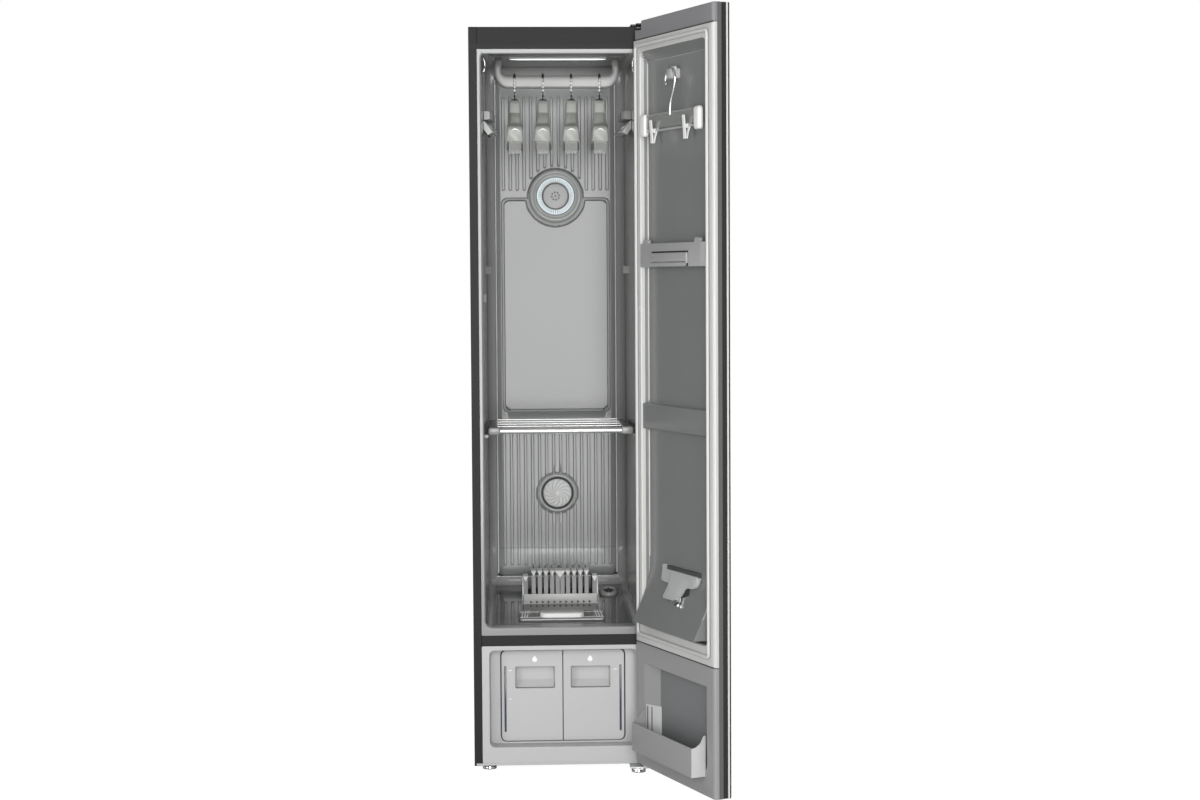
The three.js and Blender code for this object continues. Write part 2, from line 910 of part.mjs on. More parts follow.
function airDuct() {
  const front = cavityDepth + rearWallThickness + fitGap;
  const tray = prism('y', roundedPoints(-ductHalf, ductHalf, ductBottom, ductTop, ductHalf / 3), front,
    front + ductDepth);
  const hollow = prism('y', roundedPoints(-ductHalf + ductWall, ductHalf - ductWall, ductBottom + ductWall,
    ductTop - ductWall, ductHalf / 3 - ductWall), front - cutOver, front + ductDepth - ductWall);
  const lip = prism('y',
    roundedPoints(-ductHalf - ductLip, ductHalf + ductLip, ductBottom - ductLip, ductTop + ductLip,
    ductHalf / 3 + ductLip), front, front + ductWall);
  return cut(unite(tray, lip), hollow);
}

function dividerRail() {
  const low = dividerBottom + fitGap;
  const outline = [
    [0, low],
    [dividerDepth, low],
    [dividerDepth, low + sheet],
    [sheet, low + sheet],
    [sheet, dividerTop - sheet],
    [dividerDepth, dividerTop - sheet],
    [dividerDepth, dividerTop],
    [0, dividerTop],
  ];
  return prism('x', outline, -flangeHalf, flangeHalf);
}

// Tank bay: plinth, a shallow recess and the box behind its face that holds both tanks
function bayRing(y, half, bottom, top, corner) {
  return roundedPoints(-half, half, bottom, top, corner).map(([x, z]) => [x, y, z]);
}

function tankBay() {
  const innerHalf = tankHalfBlock + bayClear;
  const innerBottom = tankBottom - fitGap;
  const innerTop = tankTop + bayClear;
  const wall = linerWall;
  const round = cavityMouthRound;
  const draft = bayDraft;
  const face = tankFrontY;
  const outer = bayCorner + wall;
  return loft([
    bayRing(bayDepth, innerHalf, innerBottom, innerTop, bayCorner),
    bayRing(face, innerHalf, innerBottom, innerTop, bayCorner),
    bayRing(face, bayHalfFront - round, bayBottomFront + round, bayTopFront - draft, bayCorner),
    bayRing(round, bayHalfFront - draft, bayBottomFront + draft, bayTopFront - draft / 2, bayCorner),
    bayRing(0, bayHalfFront, bayBottomFront, bayTopFront, bayCorner),
    bayRing(0, flangeHalf, plinthBottom, dividerBottom, round),
    bayRing(linerFlange, flangeHalf, plinthBottom, dividerBottom, round),
    bayRing(linerFlange, bayHalfFront + wall, bayBottomFront - wall, bayTopFront + wall, outer),
    bayRing(face + wall, bayHalfFront + wall - draft, bayBottomFront + draft - wall,
      bayTopFront + wall - draft, outer),
    bayRing(face + wall, innerHalf + wall, innerBottom - wall, innerTop + wall, outer),
    bayRing(bayDepth + wall, innerHalf + wall, innerBottom - wall, innerTop + wall, outer),
  ]);
}

// Tanks: a moulded front with handle recess and level slit, and a tub behind it
function tankFront(sign) {
  const inner = fitGap;
  const outer = tankHalfBlock;
  const left = sign > 0 ? inner : -outer;
  const right = sign > 0 ? outer : -inner;
  const back = tankFrontY + tankFrontThickness;
  const body = prism('y', roundedPoints(left, right, tankBottom, tankTop, tankCorner), tankFrontY, back);
  const h0 = sign > 0 ? handleInner : -handleOuter;
  const h1 = sign > 0 ? handleOuter : -handleInner;
  const corner = tankCorner / 3;
  const handle = prism('y', roundedPoints(h0, h1, handleBottom, handleTop, corner),
    tankFrontY - cutOver, tankFrontY + handleDepth);
  const slit = prism('y', capsulePoints(sign * slitX, slitBottom, slitTop, slitWidth),
    tankFrontY - cutOver, tankFrontY + slitDepth);
  return cut(body, handle, slit);
}

function tankTub(sign) {
  const front = tankFrontY + tankFrontThickness - tankWall / 2;
  const back = front + tankLength;
  const inner = tankTubInset;
  const outer = tankHalfBlock - tankTubInset;
  const left = sign > 0 ? inner : -outer;
  const right = sign > 0 ? outer : -inner;
  const tub = prism('y', roundedPoints(left, right, tankBottom, tankTop - tankTubInset, tankCorner), front,
    back);
  const well = block(left + tankWall, right - tankWall, front + tankWall, back - tankWall,
    tankBottom + 2 * tankWall, tankTop + cutOver);
  return cut(tub, well);
}

function tank(sign) {
  return unite(tankFront(sign), tankTub(sign));
}

// Outlets
function ventBezel() {
  const back = cavityDepth - fitGap;
  const depth = ventBezelDepth;
  return facingFront(turned([
    [ventDuctRadius, 0],
    [ventBezelRadius, 0],
    [ventBezelRadius, depth / 3],
    [mix(ventBezelRadius, ventBezelCrest, 1 / 2), depth * 5 / 6],
    [ventBezelCrest, depth],
    [mix(ventBezelCrest, ventLensRadius, 1 / 2), depth * 5 / 6],
    [ventLensRadius, depth / 2],
    [ventLensRadius, ventBack],
    [ventDuctRadius, ventBack],
    [ventDuctRadius, 0],
  ], outletSides), 0, back, ventZ);
}

function ventLightRing() {
  const base = cavityDepth - fitGap - ventBack - fitGap;
  return facingFront(turned([
    [ringInner, 0],
    [ringOuter, 0],
    [ringOuter, ringDepth / 2],
    [mix(ringOuter, ringInner, 1 / 4), ringDepth],
    [ringInner, ringDepth],
    [ringInner, 0],
  ], outletSides), 0, base, ventZ);
}

function ventCap() {
  const base = cavityDepth - fitGap - ventBack - fitGap;
  const disc = facingFront(turned([
    [0, 0],
    [ventCapRadius, 0],
    [ventCapRadius, ventCapDepth / 2],
    [ventCapRadius - ventCapDepth / 2, ventCapDepth],
    [0, ventCapDepth],
  ], roundSides), 0, base, ventZ);
  const holes = Array.from({ length: ventHoleCount }, (_, i) => {
    const angle = (i / ventHoleCount) * 2 * Math.PI;
    const centre = [ventHoleCircle * Math.cos(angle), ventZ + ventHoleCircle * Math.sin(angle)];
    return drum('y', ventHoleRadius, centre, base - ventCapDepth - cutOver, base + cutOver, wireSides);
  });
  return cut(disc, ...holes,
    drum('y', ventHoleRadius, [0, ventZ], base - ventCapDepth - cutOver, base + cutOver, wireSides));
}

function steamOutletCap() {
  const back = cavityDepth - fitGap;
  return facingFront(turned([
    [0, -steamStubLength],
    [steamStub, -steamStubLength],
    [steamStub, 0],
    [steamFlange, 0],
    [steamFlange, steamFlangeDepth / 2],
    [mix(steamFlange, steamGroove, 1 / 2), steamFlangeDepth],
    [steamGroove, steamFlangeDepth / 2],
    [steamCap, steamFlangeDepth / 2],
    [steamCap, steamCapDepth / 2],
    [steamCap * 4 / 5, steamCapDepth],
    [0, steamCapDepth * 4 / 5],
  ], outletSides), 0, back, steamZ);
}

function ledLamp() {
  const top = cavityCeilingAt(lampY - lampWidth / 2) - fitGap;
  const y0 = lampY - lampWidth / 2;
  const outline = [
    [y0, top],
    [y0, top - lampHeight + lampRound],
    [y0 + lampRound, top - lampHeight],
    [y0 + lampWidth - lampRound, top - lampHeight],
    [y0 + lampWidth, top - lampHeight + lampRound],
    [y0 + lampWidth, top],
  ];
  return prism('x', outline, -lampLength / 2, lampLength / 2);
}

// Hanger bar: a flat U of moulded plastic with a notch for every hanger
function hangerPlaces() {
  return Array.from({ length: hangerCount }, (_, i) => (i - (hangerCount - 1) / 2) * hangerPitch);
}

function hangerBar() {
  const ceiling = cavityCeilingAt(barY - barDepth / 2) - fitGap;
  const bottom = barTop - barHeight;
  const y0 = barY - barDepth / 2;
  const y1 = barY + barDepth / 2;
  const outer = roundedPoints(-barHalf, barHalf, bottom, ceiling + barCorner, barCorner);
  const innerCorner = barCorner - armWidth;
  const inner = roundedPoints(-barHalf + armWidth, barHalf - armWidth, barTop, ceiling + 2 * barCorner,
    innerCorner);
  let bar = cut(prism('y', outer, y0, y1), prism('y', inner, y0 - cutOver, y1 + cutOver));
  bar = cut(bar, block(-halfWidth, halfWidth, y0 - cutOver, y1 + cutOver, ceiling,
    ceiling + 3 * barCorner));
  hangerPlaces().forEach((x) => {
    const low = x - notchWidth / 2;
    const high = x + notchWidth / 2;
    const saddle = drum('x', hookLoop - wireRadius - saddleGap, [barY, hookLoopCentre()], low - cutOver,
      high + cutOver,
      outletSides);
    bar = cut(bar, cut(block(low, high, y0 - cutOver, y1 + cutOver, hookLoopCentre(), barTop + cutOver),
      saddle));
  });
  return bar;
}

function hangerMotor() {
  const base = cavityCeilingAt(barY + motorWidth / 2) + linerWall + fitGap;
  const housing = prism('z', roundedPoints(-motorLength / 2, motorLength / 2, barY - motorWidth / 2,
    barY + motorWidth / 2, motorBoss), base, base + motorHeight * 2 / 3);
  return unite(housing, drum('z', motorWidth / 2 - motorBoss / 2, [0, barY], base, base + motorHeight));
}

// The wire hooks turn over the bar about this height
function hookLoopCentre() {
  return barTop - notchDepth + fitGap + wireRadius - hookLoop;
}

function hangerHook(x) {
  const loopCentre = hookLoopCentre();
  const points = [
    [x, barY, hangerNeckTop - hookSeat + fitGap],
    [x, barY, hangerNeckTop],
    [x, barY, hangerNeckTop + 2 * wireRadius],
    [x, barY + hookLoop * 2 / 3, mix(hangerNeckTop, loopCentre, 2 / 5)],
    [x, barY + hookLoop, mix(hangerNeckTop, loopCentre, 3 / 4)],
    [x, barY + hookLoop, loopCentre],
  ];
  for (let i = 1; i <= arcSteps; i += 1) {
    const angle = (180 * i / arcSteps) * degrees;
    points.push([x, barY + hookLoop * Math.cos(angle), loopCentre + hookLoop * Math.sin(angle)]);
  }
  points.push([x, barY - hookLoop, loopCentre - hookTailDrop]);
  return wire(points, wireRadius, wireSteps);
}

// Hanger body: its shoulders swell from the neck to the tips, with a keel below each
function hangerSection(x, y, width, top, bottom) {
  const corner = Math.min(width, top - bottom) / 3;
  return roundedPoints(x - width / 2, x + width / 2, bottom, top, corner, 2).map(([a, b]) => [a, y, b]);
}

function hangerBody(x) {
  const neckBottom = hangerNeckTop - hangerNeckHeight;
  const [tipShare, swellShare, middleShare] = shoulderShares;
  const stations = [
    [-tipShare, hangerTipWidth * 2 / 3, mix(hangerTipTop, hangerTipBottom, 1 / 4), hangerTipBottom],
    [-swellShare, hangerTipWidth, hangerTipTop, hangerTipBottom],
    [-middleShare, mix(hangerTipWidth, hangerNeckWidth, 2 / 3),
      mix(hangerTipTop, hangerNeckTop, 1 / 2), mix(hangerTipBottom, neckBottom, 2 / 3)],
    [-hangerNeckLength / 2 / hangerReach, hangerNeckWidth, hangerNeckTop, neckBottom],
  ];
  const mirrored = stations.map(([s, ...rest]) => [-s, ...rest]).reverse();
  const rings = [...stations, ...mirrored].map(([share, width, top, bottom]) => (
    hangerSection(x, barY + share * hangerReach, width, top, bottom)));
  const tipRun = hangerReach / 4;
  const sink = hangerTipWidth / 4;
  const keels = [-1, 1].map((side) => {
    const near = barY + side * (hangerReach - tipRun);
    const far = barY + side * (hangerReach - hangerTipWidth / 4);
    return prism('y', roundedPoints(x - hangerKeelWidth / 2, x + hangerKeelWidth / 2, hangerKeelBottom,
      hangerTipBottom + sink, hangerKeelWidth / 4, 2), Math.min(near, far), Math.max(near, far));
  });
  const bore = drum('z', wireRadius + fitGap, [x, barY], hangerNeckTop - hookSeat, hangerNeckTop + cutOver,
    wireSides * 2);
  return cut(unite(loft(rings), ...keels), bore);
}

// Shelf: a plastic rail at each side, a bright tube in front and bars across
function shelfRail(sign) {
  const x0 = sign > 0 ? shelfHalf - shelfRailWidth : -shelfHalf;
  const x1 = sign > 0 ? shelfHalf : -shelfHalf + shelfRailWidth;
  const top = shelfBottom + shelfRailHeight;
  const corner = shelfRailHeight / 3;
  let rail = prism('y', roundedPoints(x0, x1, shelfBottom, top, corner, 2), shelfFront, shelfBack);
  shelfBarPlaces().forEach(([y, radius]) => {
    const socket = radius + fitGap;
    const deep = sign > 0 ? [x0 - cutOver, x0 + shelfBarSink] : [x1 - shelfBarSink, x1 + cutOver];
    rail = cut(rail, drum('x', socket, [y, shelfBottom + shelfRailHeight / 2], deep[0], deep[1], barSides));
  });
  return rail;
}

function shelfBarPlaces() {
  const first = shelfFront + shelfRailHeight / 2;
  const last = shelfBack - shelfRailHeight;
  return Array.from({ length: shelfBarCount }, (_, i) => (
    [mix(first, last, i / (shelfBarCount - 1)), i === 0 ? shelfTubeRadius : shelfBarRadius]));
}

function shelfRack() {
  const reach = shelfHalf - shelfRailWidth + shelfBarSink - fitGap;
  const height = shelfBottom + shelfRailHeight / 2;
  const bars = shelfBarPlaces().map(([y, radius]) => drum('x', radius, [y, height], -reach, reach,
    barSides));
  const spineEdge = shelfHalf - shelfRailWidth - fitGap - shelfSpineInset;
  const spines = [-1, 1].map((sign) => {
    const low = sign > 0 ? spineEdge - shelfSpineWidth : -spineEdge;
    return block(low, low + shelfSpineWidth, shelfBarPlaces()[0][0], shelfBarPlaces().at(-1)[0],
      height - shelfBarRadius / 2, height + shelfBarRadius / 2);
  });
  return unite(...bars, ...spines);
}

// Fittings on the side walls follow the taper of the cavity
function wallFitting(sign, y, length, bottom, height, proud, taperShare, seat = -fitGap) {
  const wallFront = cavityHalfAt(y - length / 2);
  const wallBack = cavityHalfAt(y + length / 2);
  const outline = [
    [sign * (wallFront + seat), y - length / 2],
    [sign * (wallBack + seat), y + length / 2],
    [sign * (wallBack - proud), y + length / 2 - proud * taperShare],
    [sign * (wallFront - proud), y - length / 2 + proud * taperShare],
  ];
  return prism('z', outline, bottom, bottom + height);
}

function hookBlock(sign) {
  const body = wallFitting(sign, hookBlockY, hookBlockLength, hookBlockBottom, hookBlockHeight,
    hookBlockProud,
    1 / 4, linerWall / 2);
  const seatRadius = hookBlockHeight / 3;
  const seat = drum('y', seatRadius,
    [sign * (cavityHalfAt(hookBlockY) - hookBlockProud / 2), hookBlockBottom + hookBlockHeight],
    hookBlockY - hookBlockLength, hookBlockY + hookBlockLength, roundSides / 2);
  return cut(body, seat);
}

function upperWing(sign) {
  const wall = Math.max(cavityHalfAt(wingY - wingLength / 2), cavityHalfAt(wingY + wingLength / 2));
  const top = wingBottom + wingHeight;
  const hoodBottom = top - wingHoodHeight;
  const slab = wallFitting(sign, wingY, wingLength, wingBottom, wingHeight, wingProud, 1 / 2);
  const y0 = wingY - wingLength;
  const y1 = wingY + wingLength;
  const clear = wall - wingProud - cutOver;
  const cuts = [
    [
      [clear, hoodBottom],
      [wall - wingHoodProud, hoodBottom],
      [wall - wingHoodProud, top + cutOver],
      [clear, top + cutOver],
    ],
    [
      [clear, wingBottom + wingTipWidth],
      [wall - wingRoot, hoodBottom - wingGap],
      [wall - wingRoot, hoodBottom],
      [clear, hoodBottom],
    ],
    [
      [wall - wingProud + wingTipWidth, wingBottom - cutOver],
      [wall + cutOver, wingBottom - cutOver],
      [wall + cutOver, wingBottom + wingBladeRise],
      [wall - wingProud + wingTipWidth, wingBottom],
    ],
  ];
  const toSide = (outline) => outline.map(([x, z]) => [sign * x, z]);
  return cut(slab, ...cuts.map((outline) => prism('y', toSide(outline), y0, y1)));
}

function doorSensor() {
  return wallFitting(-1, sensorY, sensorLength, sensorZ - sensorHeight / 2, sensorHeight, sensorProud,
    1 / 2);
}

// Floor fittings stand on the sloped floor, so their undersides share its slope
function onFloor(outlineTop, y0, y1) {
  const lift = fitGap;
  return [
    [y0, cavityFloorAt(y0) + lift],
    [y1, cavityFloorAt(y1) + lift],
    ...outlineTop,
  ];
}

function floorNozzle() {
  const base = cavityFloorAt(nozzleY + nozzleRadius) + fitGap;
  const low = cavityFloorAt(nozzleY - nozzleRadius);
  const body = upright(turned([
    [0, low - base],
    [nozzleRadius, low - base],
    [nozzleRadius, nozzleHeight / 2],
    [nozzleRadius - nozzleSlotWidth / 2, nozzleHeight * 2 / 3],
    [nozzleNeck, nozzleHeight],
    [0, nozzleHeight],
  ], roundSides), nozzleX, nozzleY, base);
  const ground = prism('x', [
    [nozzleY - 2 * nozzleRadius, cavityFloorAt(nozzleY - 2 * nozzleRadius) + fitGap],
    [nozzleY - 2 * nozzleRadius, low - nozzleRadius],
    [nozzleY + 2 * nozzleRadius, low - nozzleRadius],
    [nozzleY + 2 * nozzleRadius, cavityFloorAt(nozzleY + 2 * nozzleRadius) + fitGap],
  ], nozzleX - 2 * nozzleRadius, nozzleX + 2 * nozzleRadius);
  let nozzle = cut(body, ground);
  for (let i = 0; i < nozzleSlotCount; i += 1) {
    const angle = (i / nozzleSlotCount) * 360;
    const slot = block(nozzleNeck / 2, nozzleNeck - nozzleSlotWidth / 2, -nozzleSlotWidth / 2,
      nozzleSlotWidth / 2,
      nozzleHeight / 2, nozzleHeight + cutOver);
    nozzle = cut(nozzle, slot.rotate([0, 0, angle]).translate([nozzleX, nozzleY, base]));
  }
  return nozzle;
}

function lintFilter() {
  const y0 = filterFront;
  const y1 = filterFront + filterLength;
  const half = filterWidth / 2;
  const top0 = cavityFloorAt(y0) + filterBase;
  const top1 = cavityFloorAt(y1) + filterBase;
  const shell = prism('x', onFloor([[y1, top1], [y0, top0]], y0, y1), -half, half);
  const hollow = prism('x', [
    [y0 + filterWall, cavityFloorAt(y0 + filterWall) + fitGap + filterWall],
    [y1 - filterWall, cavityFloorAt(y1 - filterWall) + fitGap + filterWall],
    [y1 - filterWall, top1 + cutOver],
    [y0 + filterWall, top0 + cutOver],
  ], -half + filterWall, half - filterWall);
  let filter = cut(shell, hollow);
  for (let i = 0; i < filterFinCount; i += 1) {
    const x = (i - (filterFinCount - 1) / 2) * filterFinPitch;
    const thickness = i === (filterFinCount - 1) / 2 ? filterFinThickness * 2 : filterFinThickness;
    const fin = [
      [y0 + filterWall / 2, cavityFloorAt(y0) + filterWall],
      [y1 - filterWall / 2, cavityFloorAt(y1) + filterWall],
      [y1 - filterWall, top1 + filterFinHeight],
      [y0 + filterWall * 4, top0 + filterFinHeight],
      [y0 + filterWall / 2, top0 + filterFinHeight / 3],
    ];
    filter = unite(filter, prism('x', fin, x - thickness / 2, x + thickness / 2));
  }
  const scallopPitch = filterWidth / (filterScallopCount + 1);
  for (let i = 0; i < filterScallopCount; i += 1) {
    const x = (i - (filterScallopCount - 1) / 2) * scallopPitch;
    filter = cut(filter, drum('y', filterScallopRadius, [x, cavityFloorAt(y0)], y0 - cutOver,
      y0 + filterWall + cutOver, barSides));
  }
  return filter;
}

function aromaTray() {
  const y0 = trayFront;
  const y1 = trayFront + trayLength;
  const half = trayWidth / 2;
  const plan = prism('z', roundedPoints(-half, half, y0, y1, trayCorner), cavityFloorFront - trayHeight,
    cavityFloorBack);
  const side = prism('x', onFloor([
    [y1, cavityFloorAt(y1) + trayHeight],
    [y0, cavityFloorAt(y0) + trayHeight],
  ], y0, y1), -half, half);
  const gripY = mix(y0, y1, 1 / 3);
  const grip = prism('x', [
    [gripY, cavityFloorAt(gripY) + trayHeight / 2],
    [gripY + gripLength, cavityFloorAt(gripY + gripLength) + trayHeight / 2],
    [gripY + gripLength, cavityFloorAt(gripY + gripLength) + trayHeight + gripHeight],
    [gripY + gripLength / 4, cavityFloorAt(gripY) + trayHeight + gripHeight],
    [gripY, cavityFloorAt(gripY) + trayHeight + gripHeight / 2],
  ], -gripWidth / 2, gripWidth / 2);
  return unite(plan.intersect(side), grip);
}

// Machinery
function compressor() {
  const base = caseBottom + panThickness + fitGap;
  return upright(turned([
    [0, 0],
    [compressorFoot, 0],
    [compressorFoot, compressorFootHeight],
    [compressorRadius, compressorFootHeight],
    [compressorRadius, compressorHeight - compressorDome],
    [compressorRadius * 3 / 4, compressorHeight],
    [0, compressorHeight],
  ]), compressorX, compressorY, base);
}

function blowerHousing() {
  const y0 = blowerY - blowerDepth / 2;
  const y1 = blowerY + blowerDepth / 2;
  const centre = [blowerX, blowerZ];
  const mouthRight = blowerX + blowerRadius;
  const body = unite(
    drum('y', blowerRadius, centre, y0, y1),
    block(mouthRight - blowerMouth, mouthRight, y0, y1, blowerZ, blowerMouthTop),
  );
  const hollow = unite(
    drum('y', blowerRadius - blowerWall, centre, y0 + blowerWall, y1 - blowerWall),
    block(mouthRight - blowerMouth + blowerWall, mouthRight - blowerWall, y0 + blowerWall, y1 - blowerWall,
      blowerZ, blowerMouthTop + cutOver),
  );
  const inlet = drum('y', blowerInlet, centre, y0 - cutOver, y0 + blowerWall + cutOver);
  const bearing = drum('y', shaftRadius + fitGap, centre, y1 - blowerWall - cutOver, y1 + cutOver,
    roundSides);
  const base = caseBottom + panThickness + fitGap;
  const saddle = block(blowerX - blowerRadius / 2, blowerX + blowerRadius / 2, y0, y1, base,
    blowerZ - blowerRadius / 2);
  const feet = cut(saddle, drum('y', blowerRadius - blowerWall, centre, y0 - cutOver, y1 + cutOver));
  return cut(unite(body, feet), hollow, inlet, bearing);
}

function fanWheel() {
  const y1 = blowerY + blowerDepth / 2 - blowerWall;
  const plateBack = y1 - blowerWall;
  const plateFront = plateBack - fanPlate;
  const front = plateBack - fanDepth;
  const centre = [blowerX, blowerZ];
  let wheel = unite(
    drum('y', fanRadius, centre, plateFront, plateBack),
    drum('y', fanHub, centre, plateBack - fanDepth / 2, plateBack),
    drum('y', shaftRadius, centre, plateFront, y1 + shaftReach, roundSides),
  );
  for (let i = 0; i < fanBladeCount; i += 1) {
    const blade = block(fanRadius - fanBladeLength, fanRadius - fanBladeThickness, front,
      plateFront + fanPlate / 2,
      -fanBladeThickness / 2, fanBladeThickness / 2);
    const angle = (i / fanBladeCount) * 360;
    wheel = unite(wheel, blade.rotate([0, angle, 0]).translate([blowerX, 0, blowerZ]));
  }
  const band = prism('y', circlePoints(centre, fanRadius), front, front + fanPlate,
    [circlePoints(centre, fanRadius - fanBladeLength)]);
  return unite(wheel, band);
}

function steamGenerator() {
  const base = caseBottom + panThickness + fitGap;
  const body = prism('z', roundedPoints(generatorX - generatorWidth / 2, generatorX + generatorWidth / 2,
    generatorY - generatorLength / 2, generatorY + generatorLength / 2, generatorCorner),
    base, base + generatorHeight);
  const ports = [-1, 1].map((side) => drum('z', generatorPort,
    [generatorX + side * generatorWidth / 4, generatorY],
    base + generatorHeight / 2, base + generatorHeight + generatorPortHeight, roundSides / 2));
  return unite(body, ...ports);
}

// Door pieces are drawn shut, round the hinge pin: t runs from the hinge edge, n from the inner face outwards
function doorX(t) {
  return hingeInset - t;
}

function doorY(n) {
  return hingeDepth - n;
}

function doorBlock(t0, t1, n0, n1, z0, z1) {
  return block(doorX(t1), doorX(t0), doorY(n1), doorY(n0), z0, z1);
}

function doorRing(t0, t1, n, z0, z1, corner, steps = arcSteps) {
  return roundedPoints(doorX(t1), doorX(t0), z0, z1, corner, steps).map(([x, z]) => [x, doorY(n), z]);
}

function doorPrism(points, n0, n1, holes = []) {
  const toX = (list) => list.map(([t, z]) => [doorX(t), z]).reverse();
  return prism('y', toX(points), doorY(n1), doorY(n0), holes.map(toX));
}

function doorPlate(z0, z1, n0, n1) {
  const rings = [];
  for (let i = 0; i <= arcSteps; i += 1) {
    const angle = (90 * i / arcSteps) * degrees;
    const inset = doorEdgeRound * (1 - Math.sin(angle));
    const n = n0 + doorEdgeRound * (1 - Math.cos(angle));
    rings.push(doorRing(inset, doorWidth - inset, n, z0 + inset, z1 - inset, doorEdgeRound));
  }
  rings.push(doorRing(0, doorWidth, n1, z0, z1, doorEdgeRound));
  return loft(rings);
}

function topNotch(n1) {
  return doorBlock(-cutOver, notchT, -cutOver, n1, notchBase, doorTop + cutOver);
}

function doorFrame() {
  let frame = doorPlate(doorBottom, doorTop, 0, frameDepth);
  const seat = doorBlock(-cutOver, doorWidth + cutOver, -cutOver, linerDepth, linerBottom, linerTop);
  const hollow = doorBlock(frameWall, doorWidth - frameWall, linerDepth - cutOver, frameDepth - framePlate,
    linerBottom + frameWall, linerTop - frameWall);
  const lower = doorPrism(roundedPoints(pocketHinge - fitGap, pocketFree + fitGap, pocketBottom - fitGap,
    lowerRecessTop, pocketCorner + fitGap), -cutOver, lowerRecessDepth);
  frame = cut(frame, seat, hollow, lower, topNotch(frameDepth + cutOver));
  const bore = pinRadius + fitGap;
  const topBore = drum('z', bore, [0, 0], notchBase - pinSink - fitGap, doorTop);
  const lowBore = drum('z', bore, [0, 0], doorBottom - cutOver, doorBottom + pinSink + fitGap);
  return cut(frame, topBore, lowBore);
}

function doorCarrier() {
  const n0 = frameDepth + fitGap;
  const t1 = doorWidth - carrierInset;
  const z0 = doorBottom + carrierInset;
  const z1 = doorTop - carrierInset;
  const n1 = paneDepth - paneThickness - fitGap;
  const ring = cut(
    doorBlock(carrierInset, t1, n0, n1, z0, z1),
    doorBlock(carrierInset + carrierRim, t1 - carrierRim, n0 - cutOver, n1 + cutOver, z0 + carrierRim,
      z1 - carrierRim),
  );
  const rim = cut(
    doorBlock(0, doorWidth, carrierDepth, n1, doorBottom, doorTop),
    doorBlock(carrierInset + carrierRim, t1 - carrierRim, carrierDepth - cutOver, n1 + cutOver,
      z0 + carrierRim, z1 - carrierRim),
  );
  return cut(unite(ring, rim), topNotch(carrierDepth));
}

function doorPane() {
  const n0 = paneDepth - paneThickness;
  return loft([
    doorRing(0, doorWidth, n0, doorBottom, doorTop, paneCorner),
    doorRing(0, doorWidth, paneDepth - paneThickness / 4, doorBottom, doorTop, paneCorner),
    doorRing(paneThickness / 4, doorWidth - paneThickness / 4, paneDepth, doorBottom + paneThickness / 4,
      doorTop - paneThickness / 4, paneCorner),
  ]);
}

function doorLiner() {
  const z0 = linerBottom + fitGap;
  const z1 = linerTop - fitGap;
  const back = linerDepth - fitGap;
  const wall = doorLinerWall;
  const corner = paneCorner;
  const rings = [
    doorRing(recessHinge + recessDraft, recessFree - recessDraft, recessDepth, recessBottom + recessDraft,
      recessTop - recessDraft, recessCorner),
    doorRing(recessHinge, recessFree, wall, recessBottom, recessTop, recessCorner),
    doorRing(recessHinge - wall, recessFree + wall, 0, recessBottom - wall, recessTop + wall,
      recessCorner + wall),
  ];
  for (let i = 0; i <= arcSteps; i += 1) {
    const angle = (90 * i / arcSteps) * degrees;
    const inset = doorEdgeRound * (1 - Math.sin(angle));
    rings.push(doorRing(inset, doorWidth - inset, doorEdgeRound * (1 - Math.cos(angle)), z0, z1, corner));
  }
  rings.push(doorRing(0, doorWidth, back, z0, z1, corner));
  rings.push(doorRing(wall, doorWidth - wall, back, z0 + wall, z1 - wall, corner));
  rings.push(doorRing(wall, doorWidth - wall, doorEdgeRound, z0 + wall, z1 - wall, corner));
  rings.push(doorRing(doorEdgeRound, doorWidth - doorEdgeRound, wall, z0 + wall, z1 - wall, corner));
  rings.push(doorRing(recessHinge - 2 * wall, recessFree + 2 * wall, wall, recessBottom - 2 * wall,
    recessTop + 2 * wall, recessCorner + 2 * wall));
  rings.push(doorRing(recessHinge + recessDraft - wall, recessFree - recessDraft + wall, recessDepth + wall,
    recessBottom + recessDraft - wall, recessTop - recessDraft + wall, recessCorner + wall));
  let liner = loft(rings);
  const band = doorBlock(recessHinge + recessDraft / 2, recessFree - recessDraft / 2,
    recessDepth - bandRaise,
    recessDepth + wall / 2, bandBottom, bandTop);
  liner = unite(liner, band, dripLip(), trouserPeg());
  return liner;
}

// Drip lip: the recess panel sweeps out over the gutter at its foot
function dripLip() {
  const outer = [];
  const inner = [];
  const rise = lipTop - lipBottom;
  const reach = recessDepth + lipProud;
  for (let i = 0; i <= lipSteps; i += 1) {
    const share = i / lipSteps;
    const z = lipTop - rise * share;
    const n = recessDepth - reach * (1 - Math.cos(share * 90 * degrees));
    outer.push([doorY(n), z]);
    inner.push([doorY(Math.min(n + 2 * lipWall, recessDepth + lipWall / 2)), z - lipWall * (1 - share)]);
  }
  const curtain = prism('x', [...outer, ...inner.reverse()], doorX(lipFree), doorX(lipHinge));
  const root = lipBottom - lipWall;
  const cheekOutline = [...outer, [doorY(-lipProud), root], [doorY(recessDepth + lipWall / 2), root],
    [doorY(recessDepth + lipWall / 2), lipTop]];
  const cheeks = [[lipHinge, lipHinge + lipWall], [lipFree - lipWall, lipFree]].map(([t0, t1]) => (
    prism('x', cheekOutline, doorX(t1), doorX(t0))));
  return unite(curtain, ...cheeks);
}

